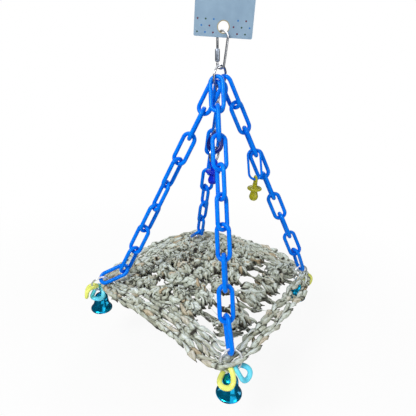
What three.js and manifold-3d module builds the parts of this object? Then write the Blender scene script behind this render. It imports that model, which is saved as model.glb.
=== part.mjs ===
// Hanging mat toy for a bird cage: a woven square mat carried by four plastic chains from one ring,
// with a quick link and a card above it, and bells, curb links and dummies hung on it.
// Millimetres, +Z up. The origin is the centre of the hole that the card hangs by.
import * as THREE from "three";
import { mergeVertices } from "three/addons/utils/BufferGeometryUtils.js";
import Module from "manifold-3d";

const wasm = await Module();
wasm.setup();

// Clearance between two wires that hang on each other, and between the mat and a ring through it
const HANG_GAP = 0.45;
const MAT_RING_GAP = 0.5;

// Header card
const CARD_WIDTH = 41;
const CARD_HEIGHT = 62;
const CARD_THICKNESS = 0.6;
const CARD_CORNER_RADIUS = 1;
const HANG_HOLE_RADIUS = 4;
const HANG_HOLE_INSET = 9;
const CLIP_HOLE_RADIUS = 3.8;
const CLIP_HOLE_INSET = 6.8;

// Quick link: a pear of wire with a gap in one leg, and the sleeve nut that closes the gap
const CLIP_WIRE = 1.8;
const CLIP_SPAN = 25;
const CLIP_TOP_RADIUS = 4.4;
const CLIP_FOOT_RADIUS = 2.9;
const CLIP_TURN = 34;
const CLIP_SEAT_GAP = 0.8;
const CLIP_MOUTH = 3;
const NUT_RADIUS = 1.75;
const NUT_LENGTH = 8.5;
const NUT_BORE_GAP = 0.25;
const NUT_ABOVE_FOOT = 6;

// Split rings: one at the top, one at each corner, one on the middle dangle
const RING_WIRE = 1.6;
const APEX_RING_RADIUS = 7.6;
const CORNER_RING_RADIUS = 7.6;
const DANGLE_RING_RADIUS = 5.9;

// Plastic chain links
const LINK_LENGTH = 28.3;
const LINK_WIDTH = 12.5;
const LINK_WIRE = 3.3;
const LINKS_PER_CHAIN = 9;
const LINK_SPREAD_GAP = 0.9;
const LINK_BEND_SLACK = 0.8;

// Curb links: a flat oval band with a twist, coloured yellow or blue
const CURB_WIDTH = 13.4;
const CURB_LENGTH = 17.4;
const CURB_BAND = 3.5;
const CURB_THICKNESS = 2.9;
const CURB_TWIST = 1.8;

// Bells with a hanging eye, a stem and a clapper ball
const BELL_RADIUS = 9.1;
const BELL_HEIGHT = 15.8;
const BELL_CROWN_RADIUS = 2.8;
const BELL_WALL = 0.8;
const BELL_EYE_RADIUS = 3.5;
const BELL_EYE_WIRE = 1.4;
const BELL_EYE_SINK = 0.4;
const CLAPPER_RADIUS = 2.2;
const CLAPPER_STEM_RADIUS = 0.7;
const CLAPPER_DROP = 14.2;

// Dummies: a handle ring, a neck, a round shield and a teat
const DUMMY_HANDLE_RADIUS = 3;
const DUMMY_HANDLE_WIRE = 2;
const DUMMY_NECK_RADIUS = 1.9;
const DUMMY_NECK_LENGTH = 3.6;
const DUMMY_SHIELD_RADIUS = 5.9;
const DUMMY_SHIELD_THICKNESS = 2.4;
const DUMMY_TEAT_RADIUS = 3.7;
const DUMMY_TEAT_LENGTH = 9.5;
const DUMMY_TEAT_NECK_RADIUS = 2.6;

// Middle dangle: a fine chain drawn as one narrow loop
const FINE_CHAIN_SPAN = 39;
const FINE_CHAIN_BEND = 2.6;
const FINE_CHAIN_WIRE = 1.2;

// Mat
const MAT_MIDDLE_THICKNESS = 7;
const MAT_EDGE_THICKNESS = 3.6;
const MAT_DOME = 10;
const FRONT_LEFT_BOW = 4;
const FRONT_RIGHT_BOW = 3.5;
const BACK_LEFT_BOW = 12;
const BACK_RIGHT_BOW = 12;
const MAT_CORNER_ROUNDING = 0.08;
const MAT_DROP_IN_RING = 0.5;
const MAT_RIM = 3.8;
const GAPS_ACROSS = 9;
const GAP_HALF_LEFT = 1.8;
const GAP_HALF_RIGHT = 3.6;

// From the middle of the toy to each corner ring, and how far each mat corner runs on past its ring
const LEFT_REACH = 91.5;
const RIGHT_REACH = 94.3;
const FRONT_REACH = 98.5;
const BACK_REACH = 87.7;
const LEFT_OVERHANG = 5;
const RIGHT_OVERHANG = 11;
const FRONT_OVERHANG = 8.5;
const BACK_OVERHANG = 24;

// Charm on the right chain: a slightly smaller link beside the chain's own
const CHARM_LINK_LENGTH = 26;
const CHARM_LINK_WIDTH = 12;
const CHARM_LINK_WIRE = 2;
const CHARM_AFTER_LINK = 3;
const CHARM_FORWARD = 17;
const CHARM_LEAN = 9;
const CHARM_SHIFT = 1.75;
const CHARM_RISE = 2.3;

// The four chains. Bearings are degrees from +X, slopes are degrees from straight down, and a roll
// turns a link about its own length from the level. Reach is from the middle to the corner ring.
const CHAINS = [
  {
    side: "left", bearing: 190.4, reach: LEFT_REACH, endBearing: 189.4, endSlope: 63,
    overhang: LEFT_OVERHANG, rolls: [125, 15, 120, 50, -20, 55, 125, 50, -35],
  },
  {
    side: "right", bearing: 15.2, reach: RIGHT_REACH, endBearing: 25.6, endSlope: 26,
    overhang: RIGHT_OVERHANG, rolls: [142, 72, 2, 88, 2, 92, 2, 88, -2],
  },
  {
    side: "front", bearing: -78, reach: FRONT_REACH, endBearing: -74.9, endSlope: 42,
    overhang: FRONT_OVERHANG, rolls: [30, 100, 5, 75, -30, 40, 110, 10, 90],
  },
  {
    side: "back", bearing: 99.4, reach: BACK_REACH, endBearing: 110, endSlope: 53,
    overhang: BACK_OVERHANG, rolls: [40, 110, 0, 90, 0, 70, 140, 70, -20],
  },
];

// Order of the chains along the apex ring, from its front to its back
const APEX_ORDER = ["front", "left", "back", "right"];

// Curb links on the corner rings: degrees round the ring from its lowest point, and the way each leans
const CURBS = [
  { side: "front", name: "front_yellow_link", colour: "lemon", at: -23, bearing: -92, droop: 25, hand: -1 },
  { side: "front", name: "front_blue_link", colour: "sky", at: 34, bearing: 2, droop: 34, hand: 1 },
  { side: "left", name: "left_blue_link", colour: "sky", at: -27, bearing: -66, droop: 14, hand: -1 },
  { side: "left", name: "left_yellow_link", colour: "lemon", at: -71, bearing: 262, droop: 3, hand: 1 },
  { side: "right", name: "right_yellow_link", colour: "lemon", at: -40, bearing: 19, droop: 30, hand: 1 },
];

const WIRE_SIDES = 6;
const CURB_SIDES = 8;
const BEND_STEPS = 6;
const RING_STEPS = 18;
const CURB_STEPS = 18;
const LATHE_STEPS = 14;

const DOWN = new THREE.Vector3(0, 0, -1);
const UP = new THREE.Vector3(0, 0, 1);

const materials = {
  card: standard(0x9fb4c8, 0.8, 0),
  nickel: standard(0xb9bcc0, 0.25, 1),
  chain: standard(0x0a63f0, 0.3, 0),
  lemon: standard(0xeeee70, 0.35, 0),
  sky: standard(0x55c8f5, 0.35, 0),
  navy: standard(0x10207a, 0.3, 0),
  olive: standard(0xbdbd30, 0.3, 0),
  royal: standard(0x0a2fd0, 0.3, 0),
  bell: standard(0x0a7ea0, 0.25, 1),
  seagrass: standard(0xaead98, 0.9, 0),
};

function standard(color, roughness, metalness) {
  return new THREE.MeshStandardMaterial({ color, roughness, metalness });
}

function radians(degrees) {
  return THREE.MathUtils.degToRad(degrees);
}

function vector(x, y, z) {
  return new THREE.Vector3(x, y, z);
}

// Point at a distance along a direction from a start
function along(start, direction, distance) {
  return start.clone().addScaledVector(direction, distance);
}

// Unit vector with a plan bearing and a slope from straight down
function heading(bearing, slope) {
  const flat = Math.sin(radians(slope));
  const turn = radians(bearing);
  return vector(flat * Math.cos(turn), flat * Math.sin(turn), -Math.cos(radians(slope)));
}

// The part of a vector square to a unit axis, as a unit vector
function squareTo(v, axis) {
  return along(v, axis, -v.dot(axis)).normalize();
}

// Level direction across a run of chain, turned about the run by a roll
function widthAcross(run, roll) {
  const level = vector(-run.y, run.x, 0).normalize();
  const raised = run.clone().cross(level);
  return level.multiplyScalar(Math.cos(radians(roll))).addScaledVector(raised, Math.sin(radians(roll)));
}

// Wire along points, round or with its own thickness along local Y, which never lies along the run
function wire(points, radius, sides, closed, thickness = 2 * radius) {
  const count = points.length;
  const position = [];
  const index = [];
  const axis = vector(0, 1, 0);
  points.forEach((point, i) => {
    const before = closed ? points[(i + count - 1) % count] : points[Math.max(i - 1, 0)];
    const after = closed ? points[(i + 1) % count] : points[Math.min(i + 1, count - 1)];
    const tangent = after.clone().sub(before).normalize();
    const u = squareTo(axis, tangent);
    const v = tangent.clone().cross(u);
    for (let j = 0; j < sides; j++) {
      const angle = (2 * Math.PI * j) / sides;
      const spot = along(along(point, u, (thickness / 2) * Math.cos(angle)), v, radius * Math.sin(angle));
      position.push(spot.x, spot.y, spot.z);
    }
  });
  const runs = closed ? count : count - 1;
  for (let i = 0; i < runs; i++) {
    const next = (i + 1) % count;
    for (let j = 0; j < sides; j++) {
      const k = (j + 1) % sides;
      index.push(i * sides + j, i * sides + k, next * sides + j);
      index.push(i * sides + k, next * sides + k, next * sides + j);
    }
  }
  if (!closed) {
    for (let j = 1; j < sides - 1; j++) {
      const last = (count - 1) * sides;
      index.push(0, j + 1, j);
      index.push(last, last + j, last + j + 1);
    }
  }
  const geometry = new THREE.BufferGeometry();
  geometry.setAttribute("position", new THREE.Float32BufferAttribute(position, 3));
  geometry.setIndex(index);
  return geometry;
}

// Points of an arc in the local XZ plane
function arc(centreX, centreZ, radius, from, to, steps) {
  const points = [];
  for (let i = 0; i <= steps; i++) {
    const angle = radians(from + ((to - from) * i) / steps);
    points.push(vector(centreX + radius * Math.cos(angle), 0, centreZ + radius * Math.sin(angle)));
  }
  return points;
}

// Long loop with round ends, hung from its top bend at the local origin
function longLoop(span, bend, wireSize) {
  const points = arc(0, -bend, bend, 0, 180, BEND_STEPS);
  points.push(...arc(0, bend - span, bend, 180, 360, BEND_STEPS));
  return wire(points, wireSize / 2, WIRE_SIDES, true);
}

// Ring round the local Y axis
function ringLoop(radius, wireSize) {
  const points = arc(0, 0, radius, 0, 360, RING_STEPS);
  points.pop();
  return wire(points, wireSize / 2, WIRE_SIDES, true);
}

// Twisted oval, hung from its top bend at the local origin, with what it hangs on along local Y
function curbLoop(hand) {
  const across = (CURB_WIDTH - CURB_BAND) / 2;
  const tall = (CURB_LENGTH - CURB_BAND) / 2;
  const twist = hand * CURB_TWIST;
  const points = [];
  for (let i = 0; i < CURB_STEPS; i++) {
    const angle = (2 * Math.PI * i) / CURB_STEPS;
    points.push(vector(across * Math.cos(angle), twist * Math.sin(2 * angle), tall * (Math.sin(angle) - 1)));
  }
  const band = wire(points, CURB_BAND / 2, CURB_SIDES, true, CURB_THICKNESS);
  return band.rotateZ(-Math.atan2(2 * twist, across));
}

// Body of revolution round local Z from a half outline
function turned(outline) {
  const points = outline.map(([radius, height]) => new THREE.Vector2(radius, height));
  return new THREE.LatheGeometry(points, LATHE_STEPS).rotateX(Math.PI / 2);
}

// Closed surface as a solid that can be joined and cut
function solid(geometry) {
  const bare = geometry.clone();
  bare.deleteAttribute("normal");
  bare.deleteAttribute("uv");
  const merged = mergeVertices(bare, 1e-3);
  const vertProperties = merged.attributes.position.array;
  const triVerts = new Uint32Array(merged.index.array);
  return new wasm.Manifold(new wasm.Mesh({ numProp: 3, vertProperties, triVerts }));
}

function surface(body) {
  const mesh = body.getMesh();
  const geometry = new THREE.BufferGeometry();
  geometry.setAttribute("position", new THREE.BufferAttribute(new Float32Array(mesh.vertProperties), 3));
  geometry.setIndex(new THREE.BufferAttribute(new Uint32Array(mesh.triVerts), 1));
  return geometry;
}

const toy = new THREE.Group();

function addPiece(name, geometry, material) {
  const mesh = new THREE.Mesh(geometry, materials[material]);
  mesh.name = name;
  toy.add(mesh);
  return mesh;
}

// Stands a mesh at a point with its local Z up a direction and its local X close to another
function stand(mesh, point, zAxis, xNear) {
  const z = zAxis.clone().normalize();
  const x = squareTo(xNear, z);
  const y = z.clone().cross(x);
  mesh.quaternion.setFromRotationMatrix(new THREE.Matrix4().makeBasis(x, y, z));
  mesh.position.copy(point);
  mesh.updateMatrix();
  return mesh;
}

// Hangs a mesh by its local origin along a direction, with what carries it close to its local Y
function hang(mesh, point, down, through) {
  const z = down.clone().negate();
  return stand(mesh, point, z, through.clone().cross(z));
}

// How far the middle of a hooked wire lies from the middle of the wire that carries it
function hookStep(wireA, wireB) {
  return (wireA + wireB) / 2 + HANG_GAP;
}

// Card with its hanging hole and the hole for the quick link, standing in the XZ plane
const cardBottom = HANG_HOLE_INSET - CARD_HEIGHT;
const clipHoleHeight = cardBottom + CLIP_HOLE_INSET;

function headerCard() {
  const half = CARD_WIDTH / 2;
  const inner = half - CARD_CORNER_RADIUS;
  const low = cardBottom + CARD_CORNER_RADIUS;
  const high = HANG_HOLE_INSET - CARD_CORNER_RADIUS;
  const shape = new THREE.Shape();
  shape.absarc(inner, low, CARD_CORNER_RADIUS, -Math.PI / 2, 0);
  shape.absarc(inner, high, CARD_CORNER_RADIUS, 0, Math.PI / 2);
  shape.absarc(-inner, high, CARD_CORNER_RADIUS, Math.PI / 2, Math.PI);
  shape.absarc(-inner, low, CARD_CORNER_RADIUS, Math.PI, 1.5 * Math.PI);
  shape.holes.push(new THREE.Path().absarc(0, 0, HANG_HOLE_RADIUS, 0, 2 * Math.PI, true));
  shape.holes.push(new THREE.Path().absarc(0, clipHoleHeight, CLIP_HOLE_RADIUS, 0, 2 * Math.PI, true));
  const options = { depth: CARD_THICKNESS, bevelEnabled: false, curveSegments: 6 };
  const geometry = new THREE.ExtrudeGeometry(shape, options);
  return geometry.translate(0, 0, -CARD_THICKNESS / 2).rotateX(Math.PI / 2);
}

addPiece("header_card", headerCard(), "card");

// Quick link, hung in the card by its top bend, with its plane turned from the card's
const clipAcross = vector(Math.cos(radians(CLIP_TURN)), -Math.sin(radians(CLIP_TURN)), 0);
const clipNormal = vector(Math.sin(radians(CLIP_TURN)), Math.cos(radians(CLIP_TURN)), 0);
const clipTop = vector(0, 0, clipHoleHeight - CLIP_HOLE_RADIUS + CLIP_WIRE / 2 + CLIP_SEAT_GAP);
const clipFoot = along(clipTop, DOWN, CLIP_SPAN);
const clipDraw = CLIP_SPAN - CLIP_TOP_RADIUS - CLIP_FOOT_RADIUS;
const clipTaper = THREE.MathUtils.radToDeg(Math.asin((CLIP_TOP_RADIUS - CLIP_FOOT_RADIUS) / clipDraw));
const footBend = arc(0, CLIP_FOOT_RADIUS - CLIP_SPAN, CLIP_FOOT_RADIUS, 180 + clipTaper, 360 - clipTaper, 8);
const topBend = arc(0, -CLIP_TOP_RADIUS, CLIP_TOP_RADIUS, -clipTaper, 180 + clipTaper, 8);
const legFoot = footBend[0];
const legTop = topBend[topBend.length - 1];
const legUp = legTop.clone().sub(legFoot).normalize();
const nutMiddle = along(legFoot, legUp, NUT_ABOVE_FOOT);

function quickLink() {
  const lowLip = along(nutMiddle, legUp, -CLIP_MOUTH / 2);
  const highLip = along(nutMiddle, legUp, CLIP_MOUTH / 2);
  return wire([lowLip, ...footBend, ...topBend, highLip], CLIP_WIRE / 2, WIRE_SIDES, false);
}

function sleeveNut() {
  const bore = CLIP_WIRE / 2 + NUT_BORE_GAP;
  const half = NUT_LENGTH / 2;
  const chamfer = (NUT_RADIUS - bore) / 2;
  const outline = [[bore, -half], [NUT_RADIUS - chamfer, -half], [NUT_RADIUS, chamfer - half]];
  outline.push([NUT_RADIUS, half - chamfer], [NUT_RADIUS - chamfer, half], [bore, half], [bore, -half]);
  return turned(outline);
}

const clip = stand(addPiece("quick_link", quickLink(), "nickel"), clipTop, UP, clipAcross);
const nutPlace = nutMiddle.clone().applyMatrix4(clip.matrix);
const nutUp = legUp.clone().transformDirection(clip.matrix);
stand(addPiece("quick_link_nut", sleeveNut(), "nickel"), nutPlace, nutUp, clipNormal);

// Ring at the top of the chains, hung on the foot of the quick link
const apexCentre = along(clipFoot, DOWN, APEX_RING_RADIUS - hookStep(RING_WIRE, CLIP_WIRE));
const apexRing = addPiece("apex_ring", ringLoop(APEX_RING_RADIUS, RING_WIRE), "nickel");
stand(apexRing, apexCentre, UP, clipNormal.clone().negate());

// Where the wire of a piece lies inside the apex ring, at an angle from the lowest point
function insideApex(wireSize, angle) {
  const radius = APEX_RING_RADIUS - hookStep(RING_WIRE, wireSize);
  const level = along(apexCentre, clipNormal, radius * Math.sin(angle));
  return along(level, DOWN, radius * Math.cos(angle));
}

// The first links stand side by side in the ring, two each side of the fine chain
const apexWireRadius = APEX_RING_RADIUS - hookStep(RING_WIRE, LINK_WIRE);
const innerAngle = Math.asin((LINK_WIRE + FINE_CHAIN_WIRE + 2 * HANG_GAP) / 2 / apexWireRadius);
const outerAngle = innerAngle + 2 * Math.asin((LINK_WIRE + LINK_SPREAD_GAP) / 2 / apexWireRadius);
const apexAngles = [-outerAngle, -innerAngle, innerAngle, outerAngle];

const linkSpan = LINK_LENGTH - LINK_WIRE;
const linkBend = (LINK_WIDTH - LINK_WIRE) / 2;
const linkHook = hookStep(LINK_WIRE, LINK_WIRE);
const linkPitch = linkSpan - linkHook;
const straightLinks = LINKS_PER_CHAIN - 1;
const straightLength = straightLinks * linkPitch + linkHook;

// Works out a chain: straight from the apex ring to its last link but one, then the last link's own slope
function solveChain(chain) {
  const start = insideApex(LINK_WIRE, apexAngles[APEX_ORDER.indexOf(chain.side)]);
  const end = heading(chain.endBearing, chain.endSlope);
  const endWidth = widthAcross(end, chain.rolls[straightLinks]);
  const levelWidth = vector(endWidth.x, endWidth.y, 0).normalize();
  const ringNormal = levelWidth.add(endWidth).normalize();
  const ringDown = squareTo(DOWN, ringNormal);
  const ringHang = CORNER_RING_RADIUS - hookStep(RING_WIRE, LINK_WIRE);
  const ringPlan = heading(chain.bearing, 90).multiplyScalar(chain.reach);
  const endPlan = along(along(ringPlan, ringDown, -ringHang), end, -linkSpan);
  const run = heading(chain.bearing, chain.endSlope);
  let bend = run;
  for (let pass = 0; pass < 12; pass++) {
    bend = run.clone().add(end).normalize();
    const foot = along(endPlan, bend, linkHook + LINK_BEND_SLACK);
    const x = (foot.x - start.x) / straightLength;
    const y = (foot.y - start.y) / straightLength;
    run.set(x, y, -Math.sqrt(1 - x * x - y * y));
  }
  const lastTop = along(along(start, run, straightLength), bend, -linkHook - LINK_BEND_SLACK);
  const lastFoot = along(lastTop, end, linkSpan);
  const ringCentre = along(lastFoot, ringDown, ringHang);
  return { ...chain, start, run, end, lastTop, ringNormal, ringDown, ringCentre };
}

const chains = CHAINS.map(solveChain);
const chainOf = (side) => chains.find((chain) => chain.side === side);

function chainLink() {
  return longLoop(linkSpan, linkBend, LINK_WIRE);
}

function addChain(chain) {
  chain.rolls.forEach((roll, i) => {
    const last = i === straightLinks;
    const run = last ? chain.end : chain.run;
    const top = last ? chain.lastTop : along(chain.start, run, i * linkPitch);
    const link = addPiece(`${chain.side}_link_${i + 1}`, chainLink(), "chain");
    stand(link, top, run.clone().negate(), widthAcross(run, roll));
  });
}

chains.forEach(addChain);

// Corner rings, each through the end of its chain and the corner of the mat
function addCornerRing(chain) {
  const ring = addPiece(`${chain.side}_ring`, ringLoop(CORNER_RING_RADIUS, RING_WIRE), "nickel");
  const across = chain.ringDown.clone().cross(chain.ringNormal);
  return stand(ring, chain.ringCentre, chain.ringDown.clone().negate(), across);
}

const cornerRings = chains.map(addCornerRing);

// Mat: a square of woven clusters with gaps between them, on the four corner rings
const matMiddle = vector(0, 0, 0);
chains.forEach((chain) => matMiddle.addScaledVector(chain.ringCentre, 1 / chains.length));
matMiddle.z -= MAT_DROP_IN_RING;
const matReach = chains.reduce((sum, chain) => sum + chain.reach, 0) / chains.length;
const matOrder = ["left", "front", "right", "back"].map(chainOf);
const matCorners = matOrder.map(({ bearing, reach, overhang }) => {
  return heading(bearing, 90).multiplyScalar(reach + overhang);
});
const matHalfSide = matCorners[0].distanceTo(matCorners[1]) / 2;
const matAlongP = matCorners[2].clone().sub(matCorners[3]).add(matCorners[1]).sub(matCorners[0]).normalize();
const matAlongQ = matCorners[2].clone().sub(matCorners[1]).add(matCorners[3]).sub(matCorners[0]).normalize();

// Swell of the mat, from 1 in the middle to 0 at the corners
function matSwell(x, y) {
  const share = Math.hypot(x - matMiddle.x, y - matMiddle.y) / matReach;
  return Math.max(0, 1 - share ** 2) ** 2;
}

// Height of the middle of the mat's thickness over a plan point: level with each ring, domed between
function matHeight(x, y) {
  const spot = vector(x - matMiddle.x, y - matMiddle.y, 0);
  let height = matMiddle.z + MAT_DOME * matSwell(x, y);
  chains.forEach((chain) => {
    const arm = vector(chain.ringCentre.x - matMiddle.x, chain.ringCentre.y - matMiddle.y, 0);
    const rise = chain.ringCentre.z - MAT_DROP_IN_RING - matMiddle.z;
    height += rise * Math.max(0, spot.dot(arm) / arm.lengthSq());
  });
  return height;
}

function matThickness(x, y) {
  return MAT_EDGE_THICKNESS + (MAT_MIDDLE_THICKNESS - MAT_EDGE_THICKNESS) * matSwell(x, y);
}

// Plan point of the mat at p, q from -1 to 1 along its two sides, with bowed edges and rounded corners
function matPoint(p, q) {
  const [left, front, right, back] = matCorners;
  const pull = 1 - MAT_CORNER_ROUNDING * (p * q) ** 6;
  const u = p * pull;
  const v = q * pull;
  const point = left.clone().multiplyScalar(((1 - u) * (1 - v)) / 4);
  point.addScaledVector(front, ((1 + u) * (1 - v)) / 4);
  point.addScaledVector(right, ((1 + u) * (1 + v)) / 4);
  point.addScaledVector(back, ((1 - u) * (1 + v)) / 4);
  const bowP = (p > 0 ? FRONT_RIGHT_BOW : BACK_LEFT_BOW) * u ** 3 * (1 - v * v);
  const bowQ = (q > 0 ? BACK_RIGHT_BOW : FRONT_LEFT_BOW) * v ** 3 * (1 - u * u);
  return along(along(point, matAlongP, bowP), matAlongQ, bowQ);
}

// Flat net in p, q: a cell with a diamond gap for each four clusters, and a plain rim round the cells
function matNet() {
  const spots = [];
  const triangles = [];
  const seen = new Map();
  const field = 1 - MAT_RIM / matHalfSide;
  const step = (2 * field) / GAPS_ACROSS;
  const half = step / 2;
  const spot = (p, q) => {
    const key = `${p.toFixed(4)} ${q.toFixed(4)}`;
    if (!seen.has(key)) {
      seen.set(key, spots.length);
      spots.push(matPoint(p, q));
    }
    return seen.get(key);
  };
  const around = [[1, 0], [1, 1], [0, 1], [-1, 1], [-1, 0], [-1, -1], [0, -1], [1, -1]];
  const addCell = (p, q, plain) => {
    const edge = around.map(([x, y]) => spot(p + x * half, q + y * half));
    const width = matPoint(p + half, q).distanceTo(matPoint(p - half, q));
    const gap = THREE.MathUtils.mapLinear(p + q, -2, 2, GAP_HALF_LEFT, GAP_HALF_RIGHT) * (step / width);
    const inner = around.map(([x, y]) => spot(p + (plain ? 0 : x * gap), q + (plain ? 0 : y * gap)));
    for (let k = 0; k < around.length; k += 2) {
      const turn = (k + 2) % around.length;
      triangles.push([inner[k], edge[k], edge[k + 1]], [inner[turn], edge[k + 1], edge[turn]]);
      if (!plain) triangles.push([inner[k], edge[k + 1], inner[turn]]);
    }
  };
  for (let i = 0; i < GAPS_ACROSS; i++) {
    for (let j = 0; j < GAPS_ACROSS; j++) {
      const atCorner = i % (GAPS_ACROSS - 1) === 0 && j % (GAPS_ACROSS - 1) === 0;
      addCell((2 * i + 1) * half - field, (2 * j + 1) * half - field, atCorner);
    }
  }
  const addRim = (turn) => {
    const marks = [];
    for (let k = 0; k <= 2 * GAPS_ACROSS; k++) marks.push(k * half - field);
    const place = (out, side) => spot(...turn(out, side));
    for (let k = 0; k < marks.length - 1; k++) {
      const [near, far] = [marks[k], marks[k + 1]];
      const quad = [place(field, near), place(1, near), place(1, far), place(field, far)];
      triangles.push([quad[0], quad[1], quad[2]], [quad[0], quad[2], quad[3]]);
    }
    const corner = [place(field, field), place(1, field), place(1, 1), place(field, 1)];
    triangles.push([corner[0], corner[1], corner[2]], [corner[0], corner[2], corner[3]]);
  };
  addRim((out, side) => [out, side]);
  addRim((out, side) => [-side, out]);
  addRim((out, side) => [-out, -side]);
  addRim((out, side) => [side, -out]);
  return { spots, triangles };
}

// Gives the flat net its height and thickness, with a wall down each open edge
function matSheet() {
  const { spots, triangles } = matNet();
  const position = [];
  const index = [];
  const open = new Set();
  [0.5, -0.5].forEach((share) => {
    spots.forEach(({ x, y }) => position.push(x, y, matHeight(x, y) + share * matThickness(x, y)));
  });
  triangles.forEach(([a, b, c]) => {
    index.push(a, b, c, a + spots.length, c + spots.length, b + spots.length);
    [[a, b], [b, c], [c, a]].forEach(([from, to]) => {
      if (!open.delete(`${to} ${from}`)) open.add(`${from} ${to}`);
    });
  });
  open.forEach((edge) => {
    const [from, to] = edge.split(" ").map(Number);
    index.push(from, from + spots.length, to + spots.length, from, to + spots.length, to);
  });
  const geometry = new THREE.BufferGeometry();
  geometry.setAttribute("position", new THREE.Float32BufferAttribute(position, 3));
  geometry.setIndex(index);
  return geometry;
}

function mat() {
  let body = solid(matSheet());
  cornerRings.forEach((ring) => {
    const passage = ringLoop(CORNER_RING_RADIUS, RING_WIRE + 2 * MAT_RING_GAP).applyMatrix4(ring.matrix);
    body = body.subtract(solid(passage));
  });
  return surface(body);
}

addPiece("mat", mat(), "seagrass");

// Bell: crown, waist and flared lip with a wall all round, a stem and a clapper ball, and an eye on top
function bell() {
  const eye = BELL_EYE_RADIUS;
  const crown = BELL_EYE_SINK + BELL_EYE_WIRE / 2 - 2 * eye;
  const lip = crown - BELL_HEIGHT;
  const shoulder = BELL_RADIUS * 0.62;
  const waist = BELL_RADIUS * 0.72;
  const ball = crown - CLAPPER_DROP;
  const outline = [[0, crown], [BELL_CROWN_RADIUS, crown], [shoulder, crown - BELL_HEIGHT * 0.22]];
  outline.push([waist, crown - BELL_HEIGHT * 0.62], [BELL_RADIUS, lip], [BELL_RADIUS - BELL_WALL, lip]);
  outline.push([waist - BELL_WALL, crown - BELL_HEIGHT * 0.62]);
  outline.push([shoulder - BELL_WALL, crown - BELL_HEIGHT * 0.22 - BELL_WALL / 2]);
  outline.push([BELL_CROWN_RADIUS, crown - 2 * BELL_WALL], [CLAPPER_STEM_RADIUS, crown - 2 * BELL_WALL]);
  const reach = Math.sqrt(CLAPPER_RADIUS ** 2 - CLAPPER_STEM_RADIUS ** 2);
  outline.push([CLAPPER_STEM_RADIUS, ball + reach], [CLAPPER_RADIUS * 0.8, ball + CLAPPER_RADIUS * 0.6]);
  outline.push([CLAPPER_RADIUS, ball], [CLAPPER_RADIUS * 0.7, ball - CLAPPER_RADIUS * 0.7]);
  outline.push([0, ball - CLAPPER_RADIUS]);
  const loop = ringLoop(eye, BELL_EYE_WIRE).translate(0, 0, -eye);
  return surface(solid(turned(outline.reverse())).add(solid(loop)));
}

// Dummy: teat, shield and neck in one turned body, with the handle ring joined to the neck
function dummy() {
  const handle = DUMMY_HANDLE_RADIUS;
  const top = DUMMY_HANDLE_WIRE / 4 - 2 * handle;
  const shieldTop = top - DUMMY_NECK_LENGTH;
  const shieldFoot = shieldTop - DUMMY_SHIELD_THICKNESS;
  const edge = DUMMY_SHIELD_THICKNESS / 4;
  const foot = shieldFoot - DUMMY_TEAT_LENGTH;
  const bulb = foot + DUMMY_TEAT_RADIUS;
  const outline = [[0, foot], [DUMMY_TEAT_RADIUS * 0.7, foot + DUMMY_TEAT_RADIUS * 0.3]];
  outline.push([DUMMY_TEAT_RADIUS, bulb], [DUMMY_TEAT_RADIUS * 0.85, bulb + DUMMY_TEAT_RADIUS * 0.6]);
  outline.push([DUMMY_TEAT_NECK_RADIUS, shieldFoot], [DUMMY_SHIELD_RADIUS - edge, shieldFoot]);
  outline.push([DUMMY_SHIELD_RADIUS, shieldFoot + edge], [DUMMY_SHIELD_RADIUS, shieldTop - edge]);
  outline.push([DUMMY_SHIELD_RADIUS - edge, shieldTop], [DUMMY_NECK_RADIUS, shieldTop]);
  outline.push([DUMMY_NECK_RADIUS, top], [0, top]);
  const loop = ringLoop(handle, DUMMY_HANDLE_WIRE).translate(0, 0, -handle);
  return surface(solid(turned(outline)).add(solid(loop)));
}

// Hangs a piece on a corner ring, at an angle from the ring's lowest point and along its own lean
function hangOnRing(mesh, side, at, lean, wireSize) {
  const chain = chainOf(side);
  const angle = radians(at);
  const level = chain.ringNormal.clone().cross(chain.ringDown);
  const out = chain.ringDown.clone().multiplyScalar(Math.cos(angle)).addScaledVector(level, Math.sin(angle));
  const tangent = level.multiplyScalar(Math.cos(angle)).addScaledVector(chain.ringDown, -Math.sin(angle));
  const ringWire = along(chain.ringCentre, out, CORNER_RING_RADIUS);
  hang(mesh, along(ringWire, lean, -hookStep(RING_WIRE, wireSize)), lean, tangent);
}

chains.forEach((chain) => {
  hangOnRing(addPiece(`${chain.side}_bell`, bell(), "bell"), chain.side, 0, DOWN, BELL_EYE_WIRE);
});

CURBS.forEach((curb) => {
  const lean = heading(curb.bearing, 90 - curb.droop);
  hangOnRing(addPiece(curb.name, curbLoop(curb.hand), curb.colour), curb.side, curb.at, lean, CURB_BAND);
});

// Charm on the right chain: one more link over the chain's own, with a dummy in its lower bend
const rightChain = chainOf("right");
const charmSpan = CHARM_LINK_LENGTH - CHARM_LINK_WIRE;
const charmBend = (CHARM_LINK_WIDTH - CHARM_LINK_WIRE) / 2;
const charmHeight = CHARM_AFTER_LINK * linkPitch - CHARM_RISE;
const charmCarrierWidth = widthAcross(rightChain.run, rightChain.rolls[CHARM_AFTER_LINK - 1]);
const charmWidth = rightChain.run.clone().cross(charmCarrierWidth);
const charmOnRun = along(rightChain.start, rightChain.run, charmHeight);
const charmTop = along(charmOnRun, charmCarrierWidth, -CHARM_SHIFT);
const charmSway = heading(rightChain.bearing, 90).multiplyScalar(Math.tan(radians(CHARM_LEAN)));
charmSway.y -= Math.tan(radians(CHARM_FORWARD));
const charmDown = charmSway.add(DOWN).normalize();
const charmLink = addPiece("charm_link", longLoop(charmSpan, charmBend, CHARM_LINK_WIRE), "chain");
stand(charmLink, charmTop, charmDown.clone().negate(), charmWidth);
const charmFoot = along(charmTop, charmDown, charmSpan);
const dummyTop = along(charmFoot, UP, hookStep(CHARM_LINK_WIRE, DUMMY_HANDLE_WIRE));
hang(addPiece("yellow_dummy", dummy(), "olive"), dummyTop, DOWN, charmWidth);

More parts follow.
